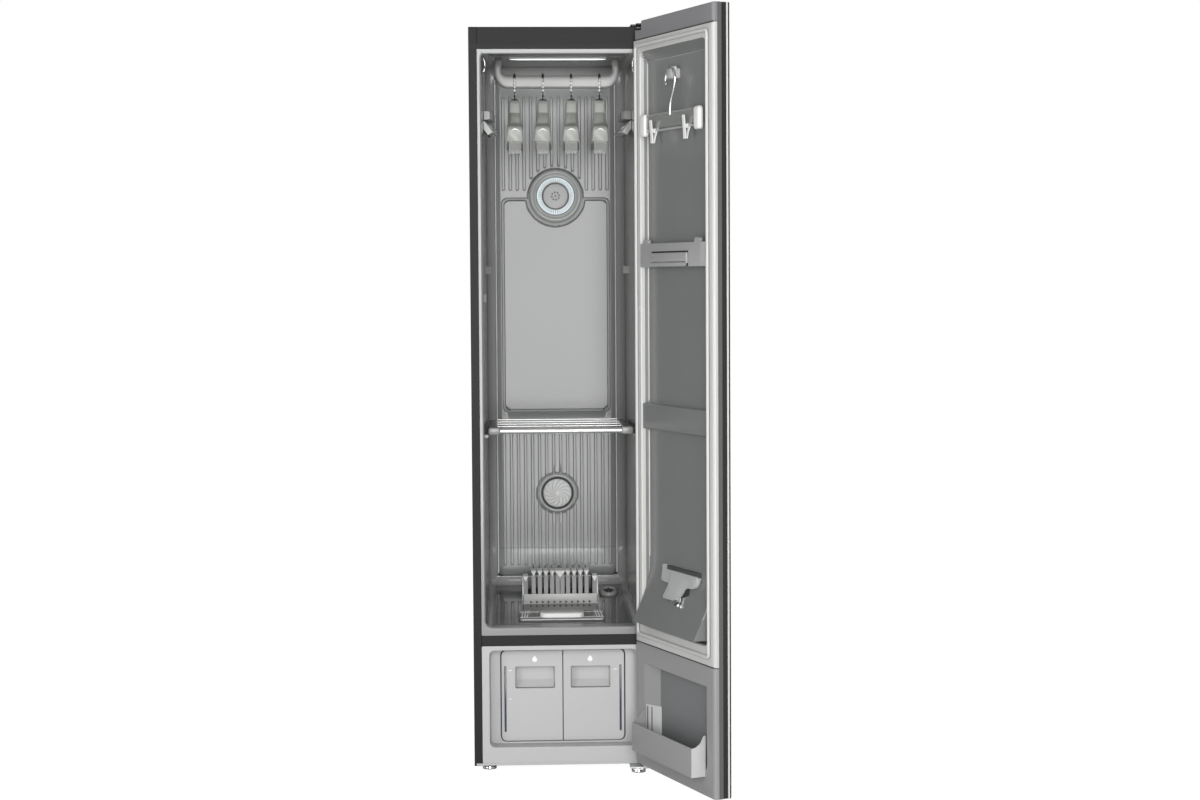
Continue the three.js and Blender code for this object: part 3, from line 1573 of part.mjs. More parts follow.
function doorGasket() {
  const t0 = gasketInset;
  const t1 = doorWidth - gasketInset;
  const z0 = linerBottom + gasketInset / 4;
  const z1 = linerTop - gasketTopInset;
  const base = -fitGap;
  const crown = -gasketProud;
  const w = gasketWidth;
  const c = gasketCorner;
  return loft([
    doorRing(t0, t1, base, z0, z1, c),
    doorRing(t0, t1, crown / 2, z0, z1, c),
    doorRing(t0 + w / 4, t1 - w / 4, crown, z0 + w / 4, z1 - w / 4, c - w / 4),
    doorRing(t0 + w * 3 / 4, t1 - w * 3 / 4, crown, z0 + w * 3 / 4, z1 - w * 3 / 4, c - w * 3 / 4),
    doorRing(t0 + w, t1 - w, crown / 2, z0 + w, z1 - w, c - w * 4 / 5),
    doorRing(t0 + w, t1 - w, base, z0 + w, z1 - w, c - w * 4 / 5),
  ], true);
}

function pressBar() {
  const t0 = recessHinge + recessDraft + fitGap;
  const t1 = recessFree - recessDraft - fitGap;
  const n1 = recessDepth - fitGap;
  let bar = doorBlock(t0, t1, -crossProud, n1, crossBottom, crossTop);
  const window = doorBlock(flapHinge - fitGap, flapFree + fitGap, -crossProud - cutOver,
    flapThickness + flapOpen * 2,
    flapBottom - fitGap, flapTop + flapOpen);
  bar = cut(bar, window);
  [t0 + crossHookWidth, t1 - crossHookWidth].forEach((t) => {
    const half = crossHookWidth / 2;
    bar = unite(bar, doorPrism([
      [t - half, crossTop - crossWall],
      [t + half, crossTop - crossWall],
      [t + half / 2, crossTop + crossHook],
      [t - half / 2, crossTop + crossHook],
    ], -crossProud, crossWall));
  });
  return bar;
}

function pressLatch() {
  const n0 = -crossProud;
  const bevel = flapThickness * flapBevelShare;
  const body = doorPrism(roundedPoints(flapHinge, flapFree, flapBottom, flapTop, crossWall), n0,
    n0 + flapThickness);
  const lowerEdge = prism('x', [
    [doorY(n0 + bevel) - cutOver, flapBottom - cutOver],
    [doorY(n0) + cutOver, flapBottom - cutOver],
    [doorY(n0) + cutOver, flapBottom + bevel + cutOver],
  ], doorX(flapFree) - cutOver, doorX(flapHinge) + cutOver);
  const knuckle = drum('x', flapThickness / 2 + fitGap,
    [doorY(n0 + flapThickness), flapBottom + flapThickness],
    doorX(flapFree - flapThickness), doorX(flapHinge + flapThickness), roundSides / 2);
  return unite(cut(body, lowerEdge), knuckle);
}

function hemClip() {
  const n1 = recessDepth - fitGap;
  const n0 = n1 - hemThickness;
  const armHalf = hemWidth / 2;
  const stemHalf = hemStemWidth / 2;
  const arm = doorPrism(roundedPoints(hemCentre - armHalf, hemCentre + armHalf, hemArmBottom, hemTop,
    hemCorner), n0, n1);
  const stem = doorPrism(roundedPoints(hemCentre - stemHalf, hemCentre + stemHalf, hemBottom,
    hemTop - hemCorner, hemCorner), n0, n1);
  return unite(arm, stem);
}

function hemSpring() {
  const n1 = recessDepth - hemThickness - 2 * fitGap;
  const half = springClipWidth / 2;
  const top = hemBottom + springClipDrop;
  const leaf = doorPrism([
    [hemCentre - half, top],
    [hemCentre - half / 2, hemBottom - springClipDrop / 4],
    [hemCentre + half / 2, hemBottom - springClipDrop / 4],
    [hemCentre + half, top],
  ], n1 - sheet, n1);
  const roll = drum('x', hemCorner / 2, [doorY(n1 - hemCorner / 2), top], doorX(hemCentre + half),
    doorX(hemCentre - half),
    roundSides / 2);
  return unite(leaf, roll);
}

function trouserPeg() {
  const head = drum('y', pegHead, [doorX(pegT), pegZ], doorY(recessDepth - pegReach),
    doorY(recessDepth - pegReach - pegHeadThickness));
  const stem = drum('y', pegRadius, [doorX(pegT), pegZ], doorY(recessDepth + doorLinerWall / 2),
    doorY(recessDepth - pegReach));
  return unite(head, stem);
}

function trouserHook() {
  const seat = pegZ + pegRadius + fitGap + wireRadius;
  const centreZ = seat - trouserLoop;
  const y = doorY(trouserN + trouserThickness / 2);
  const x = doorX(pegT);
  const points = [
    [x, y, trouserTop - trouserCapHeight / 3],
    [x, y, trouserTop],
    [x, y, mix(trouserTop, centreZ, 1 / 3)],
    [x + trouserLoop * 4 / 5, y, mix(trouserTop, centreZ, 2 / 3)],
    [x + trouserLoop, y, centreZ],
  ];
  for (let i = 1; i <= arcSteps; i += 1) {
    const angle = (180 * i / arcSteps) * degrees;
    points.push([x + trouserLoop * Math.cos(angle), y, centreZ + trouserLoop * Math.sin(angle)]);
  }
  points.push([x - trouserLoop, y, centreZ - trouserLoop / 2]);
  return wire(points, wireRadius, wireSteps);
}

function trouserBar() {
  const n0 = trouserN;
  const n1 = trouserN + trouserThickness;
  const barTopZ = trouserTop - trouserBarDrop;
  const centre = pegT;
  const bar = doorPrism(roundedPoints(centre - trouserHalf + trouserCapWidth / 2,
    centre + trouserHalf - trouserCapWidth / 2,
    barTopZ - trouserBarHeight, barTopZ, trouserBarHeight / 4), n0, n1);
  const caps = [-1, 1].map((side) => {
    const mid = centre + side * (trouserHalf - trouserCapWidth / 2);
    return doorPrism(roundedPoints(mid - trouserCapWidth / 2, mid + trouserCapWidth / 2,
      trouserTop - trouserCapHeight,
      trouserTop, trouserCapWidth / 3), n0 - clipWall, n1);
  });
  const neck = doorPrism(roundedPoints(centre - trouserCapWidth / 2, centre + trouserCapWidth / 2,
    barTopZ - trouserBarHeight, trouserTop, trouserCapWidth / 4), n0, n1);
  const bore = drum('z', wireRadius + fitGap, [doorX(centre), doorY(n0 + trouserThickness / 2)],
    trouserTop - trouserCapHeight / 3 - fitGap, trouserTop + cutOver, wireSides * 2);
  return cut(unite(bar, ...caps, neck), bore);
}

function trouserClip(side) {
  const t = pegT + side * clipOffset;
  const barTopZ = trouserTop - trouserBarDrop;
  const n0 = trouserN - clipWall;
  const n1 = trouserN + trouserThickness + clipWall - fitGap;
  const top = trouserTop - clipDrop;
  const half = clipWidth / 2;
  const jaw = doorPrism([
    [t - half * 2 / 3, top],
    [t - half * 2 / 3, top - clipHeight / 2],
    [t - half, top - clipHeight * 4 / 5],
    [t - half, top - clipHeight],
    [t + half, top - clipHeight],
    [t + half, top - clipHeight * 4 / 5],
    [t + half * 2 / 3, top - clipHeight / 2],
    [t + half * 2 / 3, top],
  ], n0, n1);
  const channel = doorBlock(t - clipWidth, t + clipWidth, trouserN - fitGap,
    trouserN + trouserThickness + fitGap,
    barTopZ - trouserBarHeight - fitGap, barTopZ + fitGap);
  const slot = doorBlock(t - clipWidth, t + clipWidth, trouserN + trouserThickness / 3,
    trouserN + trouserThickness * 2 / 3,
    top - clipHeight - cutOver, barTopZ - trouserBarHeight - 2 * clipWall);
  return cut(jaw, channel, slot);
}

function doorPocket() {
  const back = lowerRecessDepth - fitGap;
  const tub = doorPrism(roundedPoints(pocketHinge, pocketFree, pocketBottom, pocketEarTop, pocketCorner),
    -pocketProud, back);
  const well = doorBlock(pocketHinge + pocketWall, pocketFree - pocketWall, -pocketProud + pocketWall,
    back - pocketWall,
    pocketBottom + pocketWall, pocketEarTop + cutOver);
  const slopeOutline = [
    [doorY(-pocketProud) + cutOver, pocketFrontTop],
    [doorY(-pocketProud + pocketSlope), pocketFrontTop],
    [doorY(-pocketProud + pocketSlope * 2), pocketEarTop],
    [doorY(-pocketProud + pocketSlope * 2), pocketEarTop + cutOver],
    [doorY(-pocketProud) + cutOver, pocketEarTop + cutOver],
  ];
  const slope = prism('x', slopeOutline, doorX(pocketFree) - cutOver, doorX(pocketHinge) + cutOver);
  return cut(tub, well, slope);
}

// Hinge brackets are fixed to the case and carry the pins
function hingeTop() {
  const z0 = cabinetTop + fitGap;
  const arm = block(doorPinX - bracketLeft, doorPinX + bracketRight, doorPinY, topBracketReach, z0,
    z0 + bracketPlate);
  const head = drum('z', bracketHead, [doorPinX, doorPinY], z0, z0 + bracketPlate);
  const pin = drum('z', pinRadius, [doorPinX, doorPinY], notchBase - pinSink, z0 + bracketPlate);
  return unite(arm, head, pin);
}

function hingeBottom() {
  const z1 = caseBottom - fitGap;
  const z0 = z1 - bracketPlate;
  const plate = block(doorPinX - lowerBracketLeft, doorPinX + lowerBracketRight, doorPinY - bracketHead,
    lowerBracketReach, z0, z1);
  const collar = drum('z', bracketHead, [doorPinX, doorPinY], z0, doorBottom - fitGap);
  const pin = drum('z', pinRadius, [doorPinX, doorPinY], z0, doorBottom + pinSink);
  return unite(plate, collar, pin);
}

// Assembly
add('side_panel_left', sidePanel(-1), charcoal);
add('side_panel_right', sidePanel(1), charcoal);
add('top_cover', topCover(), charcoal);
add('back_cover', backCover(), metalSheet);
add('base_pan', basePan(), metalSheet);
add('liner_body', linerBody(), wallGrey);
add('rear_wall', rearWall(), rearGrey);
add('air_duct', airDuct(), tankGrey);
add('divider_rail', dividerRail(), charcoal);
add('tank_bay', tankBay(), tankGrey);
add('vent_bezel', ventBezel(), lightGrey);
add('vent_light_ring', ventLightRing(), glowWhite);
add('vent_cap', ventCap(), rearGrey);
add('steam_outlet_cap', steamOutletCap(), lightGrey);
add('ceiling_lamp', ledLamp(), glowWhite);
add('floor_nozzle', floorNozzle(), lightGrey);
add('upper_wing_left', upperWing(-1), lightGrey);
add('upper_wing_right', upperWing(1), lightGrey);
add('door_sensor', doorSensor(), lightGrey);
add('compressor', compressor(), blackPlastic);
add('blower_housing', blowerHousing(), metalSheet);
add('fan_wheel', fanWheel(), blackPlastic);
add('steam_generator', steamGenerator(), metalSheet);
add('hanger_motor', hangerMotor(), metalSheet);
add('hinge_top', hingeTop(), charcoal);
add('hinge_bottom', hingeBottom(), chromeFinish);
footPlaces().forEach(([x, y], i) => add(`foot_${i + 1}`, foot(x, y), chromeFinish));

add('hanger_bar', hangerBar(), lightGrey);
hangerPlaces().forEach((x, i) => {
  add(`hanger_hook_${i + 1}`, hangerHook(x), chromeFinish);
  add(`hanger_body_${i + 1}`, hangerBody(x), hangerGrey);
});
add('shelf_rack', shelfRack(), steelFinish);
add('shelf_rail_left', shelfRail(-1), lightGrey);
add('shelf_rail_right', shelfRail(1), lightGrey);
[['supply', -1], ['drain', 1]].forEach(([name, sign]) => {
  add(`${name}_tank`, tank(sign), tankGrey);
});
add('lint_filter', lintFilter(), lightGrey);
add('aroma_tray', aromaTray(), lightGrey);

add('door_frame', doorFrame(), doorGrey, doorGroup);
add('door_carrier', doorCarrier(), blackPlastic, doorGroup);
add('door_pane', doorPane(), paneBlack, doorGroup);
add('door_liner', doorLiner(), doorRecessGrey, doorGroup);
add('door_gasket', doorGasket(), gasketGrey, doorGroup);
add('press_bar', pressBar(), doorGrey, doorGroup);
add('press_latch', pressLatch(), doorGrey, doorGroup);
add('hem_clip', hemClip(), lightGrey, doorGroup);
add('hem_spring', hemSpring(), chromeFinish, doorGroup);
add('trouser_hook', trouserHook(), chromeFinish, doorGroup);
add('trouser_bar', trouserBar(), hangerGrey, doorGroup);
add('clip_near', trouserClip(-1), hangerGrey, doorGroup);
add('clip_far', trouserClip(1), hangerGrey, doorGroup);
add('door_pocket', doorPocket(), lightGrey, doorGroup);

doorGroup.position.set(doorPinX, doorPinY, 0);
doorGroup.rotation.z = openAngle * degrees;
cabinet.add(doorGroup);

// The origin is the middle of the whole part's footprint, on the floor.
cabinet.updateMatrixWorld(true);
const extent = new THREE.Box3().setFromObject(cabinet, true);
const middle = extent.getCenter(new THREE.Vector3());
cabinet.position.set(-middle.x, -middle.y, -extent.min.z);

export default cabinet;
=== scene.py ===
import json
import math

import bmesh
import bpy
from mathutils import Matrix, Vector


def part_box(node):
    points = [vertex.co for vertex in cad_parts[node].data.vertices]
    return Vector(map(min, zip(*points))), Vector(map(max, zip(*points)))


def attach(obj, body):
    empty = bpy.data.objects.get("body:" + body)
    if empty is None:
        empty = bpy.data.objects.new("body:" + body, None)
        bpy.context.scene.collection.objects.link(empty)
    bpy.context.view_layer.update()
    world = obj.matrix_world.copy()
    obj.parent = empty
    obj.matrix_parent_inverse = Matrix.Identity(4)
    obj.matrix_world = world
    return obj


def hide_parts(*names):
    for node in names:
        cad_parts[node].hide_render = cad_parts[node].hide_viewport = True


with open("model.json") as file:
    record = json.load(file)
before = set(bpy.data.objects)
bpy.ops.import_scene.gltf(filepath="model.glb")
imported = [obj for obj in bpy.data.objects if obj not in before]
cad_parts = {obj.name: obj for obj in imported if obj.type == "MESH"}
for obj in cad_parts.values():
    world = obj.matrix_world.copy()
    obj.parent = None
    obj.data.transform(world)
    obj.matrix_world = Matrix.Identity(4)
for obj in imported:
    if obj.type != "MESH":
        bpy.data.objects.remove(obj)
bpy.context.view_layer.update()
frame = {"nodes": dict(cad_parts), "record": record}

# Studio: the cabinet was photographed from a little left of its middle, at chest height and from
# across a room, with a long lens, on a white sweep. The camera is placed from the cabinet's own
# front: its middle line and the plane of its front edges.
case_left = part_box("side_panel_left")
case_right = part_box("side_panel_right")
mid_x = (case_left[0].x + case_right[1].x) / 2
front_y = case_left[0].y
camera_place = (-0.15126, -5.456, 1.2228)
camera_yaw = 0.0452
camera_pitch = -0.0545
camera_roll = -0.0059
focal_pixels = 2209.2
picture_width = 1200
sensor_width = 36.0


def at(x, y, z):
    """A place given from the cabinet's middle line and front plane."""
    return Vector((mid_x + x, front_y + y, z))


camera_data = bpy.data.cameras.new("camera")
camera_data.sensor_width = sensor_width
camera_data.lens = focal_pixels / picture_width * sensor_width
camera_data.clip_end = 60
camera = bpy.data.objects.new("camera", camera_data)
bpy.context.scene.collection.objects.link(camera)
camera.matrix_world = (
    Matrix.Translation(at(*camera_place))
    @ Matrix.Rotation(-camera_yaw, 4, "Z")
    @ Matrix.Rotation(math.pi / 2 + camera_pitch, 4, "X")
    @ Matrix.Rotation(camera_roll, 4, "Z")
)
bpy.context.scene.camera = camera
bpy.context.scene.view_settings.view_transform = "Standard"


def seen_directly(nodes):
    """One where the camera looks, also through clear plastic, and nothing for all other light."""
    path = nodes.new("ShaderNodeLightPath")
    either = nodes.new("ShaderNodeMath")
    either.operation = "MAXIMUM"
    nodes.id_data.links.new(path.outputs["Is Camera Ray"], either.inputs[0])
    nodes.id_data.links.new(path.outputs["Is Transmission Ray"], either.inputs[1])
    return either.outputs[0]


ambient_strength = 0.32
world = bpy.data.worlds.new("studio")
world.use_nodes = True
bpy.context.scene.world = world
backdrop = world.node_tree.nodes["Background"]
backdrop.inputs["Color"].default_value = (1, 1, 1, 1)
level = world.node_tree.nodes.new("ShaderNodeMapRange")
level.inputs["To Min"].default_value = ambient_strength
level.inputs["To Max"].default_value = 1.0
world.node_tree.links.new(seen_directly(world.node_tree.nodes), level.inputs["Value"])
world.node_tree.links.new(level.outputs["Result"], backdrop.inputs["Strength"])

floor_half = 30.0
floor_mesh = bpy.data.meshes.new("floor")
corners = [(-1, -1), (1, -1), (1, 1), (-1, 1)]
floor_mesh.from_pydata([(x * floor_half, y * floor_half, 0) for x, y in corners], [], [(0, 1, 2, 3)])
floor = bpy.data.objects.new("floor", floor_mesh)
bpy.context.scene.collection.objects.link(floor)
sweep_white = bpy.data.materials.new("white_sweep")
sweep_white.use_nodes = True
sweep_nodes = sweep_white.node_tree.nodes
sweep_links = sweep_white.node_tree.links
sweep_nodes.clear()
card = sweep_nodes.new("ShaderNodeBsdfDiffuse")
card.inputs["Color"].default_value = (0.8, 0.8, 0.8, 1)
glow = sweep_nodes.new("ShaderNodeEmission")
glow.inputs["Strength"].default_value = 1.29
shadow_share = sweep_nodes.new("ShaderNodeMath")
shadow_share.operation = "MULTIPLY"
shadow_share.inputs[1].default_value = 0.75
blend_in = sweep_nodes.new("ShaderNodeMixShader")
surface = sweep_nodes.new("ShaderNodeOutputMaterial")
sweep_links.new(seen_directly(sweep_nodes), shadow_share.inputs[0])
sweep_links.new(shadow_share.outputs[0], blend_in.inputs["Fac"])
sweep_links.new(card.outputs[0], blend_in.inputs[1])
sweep_links.new(glow.outputs[0], blend_in.inputs[2])
sweep_links.new(blend_in.outputs[0], surface.inputs["Surface"])
floor_mesh.materials.append(sweep_white)


def soft_box(name, place, aim, width, height, watts):
    """A rectangular studio lamp that looks at a point of the cabinet."""
    data = bpy.data.lights.new(name, "AREA")
    data.shape = "RECTANGLE"
    data.size = width
    data.size_y = height
    data.energy = watts
    lamp = bpy.data.objects.new(name, data)
    bpy.context.scene.collection.objects.link(lamp)
    lamp.location = at(*place)
    lamp.rotation_mode = "QUATERNION"
    lamp.rotation_quaternion = (at(*aim) - lamp.location).to_track_quat("-Z", "Y")


soft_box("key_lamp", (0.15, -5.6, 1.35), (0.05, 0, 1.0), 2.3, 3.4, 250)
soft_box("left_lamp", (-2.6, -2.4, 1.3), (0.2, 0, 0.8), 0.8, 2.6, 34)
soft_box("ceiling_glow", (0.0, 0.137, 1.7725), (0.0, 0.4, 1.3), 0.23, 0.008, 0.008)
soft_box("rear_glow", (0.0, 0.33, 1.7725), (0.0, 0.45, 1.5), 0.25, 0.01, 0.22)
soft_box("foot_glow", (0.0, 0.395, 0.49), (0.0, 0.45, 0.43), 0.26, 0.01, 0.07)
soft_box("low_lamp", (0.0, -3.6, 0.3), (0.0, 0.2, 0.9), 1.4, 0.3, 5)

# Outer case: folded steel sheet with a dark charcoal powder coat. Each side is one panel with a
# narrow return at the front; a cover closes the top, and a rail crosses between door seal and tanks.


def shade(red, green=None, blue=None):
    """A linear colour from 8-bit levels; one level alone is a grey."""
    levels = (red, red if green is None else green, red if blue is None else blue)
    linear = []
    for level_8bit in levels:
        part = level_8bit / 255
        linear.append(part / 12.92 if part <= 0.04045 else ((part + 0.055) / 1.055) ** 2.4)
    return (*linear, 1)


def finish(name, colour, roughness, metallic=0.0, mottle=0.04, mottle_size=0.05, grain_size=0.0005,
           grain_depth=0.00002, roughness_spread=0.04, crevice=0.0, crevice_reach=0.03, specular=0.5):
    """A surface finish: slight mottling of its colour, uneven gloss, a fine moulded or sprayed grain
    and, where asked, painted shade: its colour darkened in crevices and close to other parts."""
    made = bpy.data.materials.new(name)
    made.use_nodes = True
    nodes = made.node_tree.nodes
    links = made.node_tree.links
    skin = nodes["Principled BSDF"]
    skin.inputs["Metallic"].default_value = metallic
    skin.inputs["Specular IOR Level"].default_value = specular
    places = nodes.new("ShaderNodeTexCoord")
    cloud = nodes.new("ShaderNodeTexNoise")
    cloud.inputs["Scale"].default_value = 1 / mottle_size
    cloud.inputs["Detail"].default_value = 4
    links.new(places.outputs["Object"], cloud.inputs["Vector"])
    tint = nodes.new("ShaderNodeMix")
    tint.data_type = "RGBA"
    tint.inputs["A"].default_value = (*[part * (1 - mottle) for part in colour[:3]], 1)
    tint.inputs["B"].default_value = (*[min(1, part * (1 + mottle)) for part in colour[:3]], 1)
    links.new(cloud.outputs["Fac"], tint.inputs["Factor"])
    base = tint.outputs["Result"]
    # Painted shade: ambient occlusion darkens the base colour in crevices and near other parts.
    if crevice:
        occlusion = nodes.new("ShaderNodeAmbientOcclusion")
        occlusion.samples = 8
        occlusion.inputs["Distance"].default_value = crevice_reach
        deep = nodes.new("ShaderNodeMapRange")
        deep.inputs["To Min"].default_value = 1 - crevice
        deep.inputs["To Max"].default_value = 1.0
        links.new(occlusion.outputs["AO"], deep.inputs["Value"])
        painted_shade = nodes.new("ShaderNodeVectorMath")
        painted_shade.operation = "SCALE"
        links.new(base, painted_shade.inputs[0])
        links.new(deep.outputs["Result"], painted_shade.inputs["Scale"])
        base = painted_shade.outputs["Vector"]
    links.new(base, skin.inputs["Base Color"])
    gloss = nodes.new("ShaderNodeMapRange")
    gloss.inputs["To Min"].default_value = max(0.02, roughness - roughness_spread)
    gloss.inputs["To Max"].default_value = roughness + roughness_spread
    links.new(cloud.outputs["Fac"], gloss.inputs["Value"])
    links.new(gloss.outputs["Result"], skin.inputs["Roughness"])
    if grain_depth:
        grain = nodes.new("ShaderNodeTexNoise")
        grain.inputs["Scale"].default_value = 1 / grain_size
        grain.inputs["Detail"].default_value = 2
        links.new(places.outputs["Object"], grain.inputs["Vector"])
        bump = nodes.new("ShaderNodeBump")
        bump.inputs["Distance"].default_value = grain_depth
        bump.inputs["Strength"].default_value = 1.0
        links.new(grain.outputs["Fac"], bump.inputs["Height"])
        links.new(bump.outputs["Normal"], skin.inputs["Normal"])
    return made


def round_edges(piece, width, steps=2, limit=32):
    """Rounds a piece's hard edges and evens out the shading of its faces."""
    if width:
        bevel = piece.modifiers.new("edge_round", "BEVEL")
        bevel.width = width
        bevel.segments = steps
        bevel.limit_method = "ANGLE"
        bevel.angle_limit = math.radians(limit)
    normals = piece.modifiers.new("even_shading", "WEIGHTED_NORMAL")
    normals.weight = 50
    normals.keep_sharp = False


def coat_node(node, material, width=0.0006, steps=2):
    """Gives a carried-over solid its finish and its rounded edges."""
    piece = frame["nodes"][node]
    flat_normals = piece.data.attributes.get("custom_normal")
    if flat_normals:
        piece.data.attributes.remove(flat_normals)
    piece.data.shade_smooth()
    weld = piece.modifiers.new("weld", "WELD")
    weld.merge_threshold = 0.00001
    round_edges(piece, width, steps)
    piece.data.materials.clear()
    piece.data.materials.append(material)
    return piece


charcoal = finish("charcoal_powder_coat", shade(30, 30, 31), 0.5, mottle=0.05, mottle_size=0.4,
                  grain_size=0.0007, grain_depth=0.00005, specular=0.2)
for panel in ("side_panel_left", "side_panel_right", "top_cover", "divider_rail"):
    coat_node(panel, charcoal, 0.0008, 3)

# Back cover and base pan: plain galvanised sheet with folded edges, never painted. Both are screwed
# on, from behind and from below.
zinc = finish("zinc_sheet", shade(150, 152, 154), 0.42, metallic=0.7, mottle=0.16, mottle_size=0.02,
              grain_size=0.004, grain_depth=0.00002, roughness_spread=0.12)
for panel in ("back_cover", "base_pan"):
    coat_node(panel, zinc)

# Cavity liner: one large vacuum-formed box of glossy grey plastic, pale at its front flange, with
# the shelf ledges and hook blocks moulded on.
# Painted shade darkens the liner's colour in corners and near the parts fixed to it.
liner_plastic = finish("liner_plastic", shade(140, 141, 140), 0.17, mottle=0.03, mottle_size=0.3,
                       grain_size=0.0015, grain_depth=0.00001, crevice=0.45, crevice_reach=0.09, specular=0.4)
coat_node("liner_body", liner_plastic, 0.0015, 3)

# Rear wall: a satin moulded panel with upright ribs, a channel round its middle field and a dished
# ring round the air outlet. It hides the steel air duct behind it.


def plain(name, levels, roughness, **more):
    """A surface finish without any grain, from the 8-bit levels of its colour."""
    return finish(name, shade(*levels), roughness, grain_depth=0, **more)


def smooth_step(value, low, high):
    """Runs from nought to one between two values, with soft ends."""
    share = min(1.0, max(0.0, (value - low) / (high - low)))
    return share * share * (3 - 2 * share)


def box_reach(x, z, half_x, low_z, high_z, corner):
    """Signed distance to a rounded rectangle's outline: negative inside."""
    dx = abs(x) - half_x + corner
    dz = abs(z - (low_z + high_z) / 2) - (high_z - low_z) / 2 + corner
    outside = math.hypot(max(dx, 0), max(dz, 0))
    return outside + min(max(dx, dz), 0) - corner


def make(name, verts, faces, material, slot, body, hidden=(), edge=0.0, steps=2, flat_over=None):
    """Makes a piece from points and faces, finishes it and hangs it on its moving or fixed body."""
    mesh = bpy.data.meshes.new(name)
    mesh.from_pydata([tuple(v) for v in verts], [], faces)
    mesh.update()
    whole = bmesh.new()
    whole.from_mesh(mesh)
    bmesh.ops.remove_doubles(whole, verts=whole.verts, dist=0.000001)
    bmesh.ops.recalc_face_normals(whole, faces=whole.faces)
    whole.to_mesh(mesh)
    whole.free()
    mesh.shade_smooth()
    if flat_over:
        mesh.set_sharp_from_angle(angle=math.radians(flat_over))
    mesh.materials.append(material)
    piece = bpy.data.objects.new(name, mesh)
    bpy.context.scene.collection.objects.link(piece)
    if edge:
        round_edges(piece, edge, steps)
    for node in hidden:
        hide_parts(node)
    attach(piece, body)
    return piece


def lofted(rings, closed_ends=True):
    """Points and faces of a body that runs through rings with the same number of points."""
    verts = [point for ring in rings for point in ring]
    count = len(rings[0])
    faces = []
    for row in range(len(rings) - 1):
        for k in range(count):
            after = (k + 1) % count
            faces.append((row * count + k, row * count + after, (row + 1) * count + after,
                          (row + 1) * count + k))
    if closed_ends:
        faces.append(tuple(range(count - 1, -1, -1)))
        faces.append(tuple(range((len(rings) - 1) * count, len(rings) * count)))
    return verts, faces


def rounded_ring(half_u, half_v, corner, steps=4):
    """An outline of a rounded rectangle about nought, in its own two directions."""
    ring = []
    for corner_u, corner_v, start in ((1, 1, 0), (-1, 1, 90), (-1, -1, 180), (1, -1, 270)):
        for step in range(steps + 1):
            angle = math.radians(start + 90 * step / steps)
            ring.append((corner_u * (half_u - corner) + corner * math.cos(angle),
                         corner_v * (half_v - corner) + corner * math.sin(angle)))
    return ring


def spaced(edges, coarse):
    """Grid lines through the given places, with the longer spans cut into even steps."""
    marks = sorted(set(round(edge, 6) for edge in edges))
    lines = [marks[0]]
    for low, high in zip(marks, marks[1:]):
        count = max(1, math.ceil((high - low) / coarse - 0.001))
        lines += [low + (high - low) * (k + 1) / count for k in range(count)]
    return lines


rear_low, rear_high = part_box("rear_wall")
wall_y = 0.45
wall_half = (rear_high.x - rear_low.x) / 2
wall_low = rear_low.z
wall_high = rear_high.z
rib_half = 0.004
rib_rise = 0.0032
rib_flank = 0.0014
upper_ribs = [-0.138 + 0.0184 * k for k in range(16)]
lower_ribs = [-0.141 + 0.0188 * k for k in range(16)]
outlet_z = 1.445
steam_z = 0.652
rib_ring = 0.0795


def rib_height(x, z, middles, low_end, high_end):
    """How far a family of round-ended upright ribs stands out at one place."""
    nearest = min(middles, key=lambda middle: abs(middle - x))
    low = low_end(nearest)
    across = abs(x - nearest)
    beyond = max(low + rib_half - z, z - (high_end - rib_half), 0)
    reach = math.hypot(across, beyond) - rib_half
    return rib_rise * smooth_step(-reach, 0, rib_flank)


def upper_rib_low(middle):
    if abs(middle) < rib_ring - 0.009:
        return outlet_z + math.sqrt(rib_ring ** 2 - middle ** 2) + 0.0005
    return outlet_z + 0.015


field_half, field_low, field_high = 0.1445, 0.869, 1.441


def wall_relief(x, z):
    """The rear wall's rise towards the cavity at one place."""
    rise = 0.0
    ring = math.hypot(x, z - outlet_z)
    if z > outlet_z:
        rise = rib_height(x, z, upper_ribs, upper_rib_low, 1.708)
    elif z < 0.86:
        rise = rib_height(x, z, lower_ribs, lambda middle: 0.458, 0.838)
        around = math.hypot(x, z - steam_z)
        rise = max(rise * smooth_step(around, 0.0545, 0.0565),
                   0.003 * (1 - smooth_step(around, 0.0535, 0.0555)))
    outer = box_reach(x, z, field_half, field_low, field_high, 0.016)
    inner = box_reach(x, z, 0.136, 0.8775, 1.4325, 0.0125)
    channel = smooth_step(-outer, 0, 0.0016) * smooth_step(inner, 0, 0.0016)
    moat = (1 - smooth_step(ring, 0.0795, 0.0812)) * smooth_step(-outer, 0, 0.0016)
    rim = (1 - smooth_step(ring, 0.0722, 0.0742))
    rise -= 0.0026 * max(channel, moat, rim)
    lean = abs(x) - 0.145
    if lean > 0 and rim == 0:
        rise -= 0.002 * smooth_step(lean, 0, 0.0125)
    return rise


rib_lines = []
for middle in upper_ribs + lower_ribs:
    for side in (-1, 1):
        rib_lines += [middle + side * off for off in (0.0021, 0.0026, 0.0033, 0.004, 0.0045)]
rib_lines = [x for x in rib_lines if abs(x) < wall_half]
lean_xs = [side * off for side in (-1, 1) for off in (0.147, 0.149, 0.151, 0.153, 0.155)]
channel_edges = (0.145, field_half, 0.1437, 0.1429, 0.1376, 0.1368, 0.136, 0.135)
channel_xs = [side * off for side in (-1, 1) for off in channel_edges]
fine_xs = [-0.084 + 0.0024 * k for k in range(71)]
xs = spaced(rib_lines + channel_xs + lean_xs + fine_xs + [-wall_half, wall_half, 0], 0.006)
end_zs = [base + step * 0.0008 for base in (0.458, 1.46) for step in range(-2, 7)]
end_zs += [top - step * 0.0008 for top in (1.708, 0.838) for step in range(-2, 7)]
channel_zs = [field_low, 0.8698, 0.8706, 0.8759, 0.8767, 0.8775, 0.8785, 1.4315, 1.4325, 1.4333, 1.4341, 1.4394,
              1.4402, field_high]
corner_zs = [0.8775 + 0.0024 * k for k in range(8)] + [1.4325 - 0.0024 * k for k in range(8)]
fine_zs = [outlet_z - 0.084 + 0.0022 * k for k in range(77)]
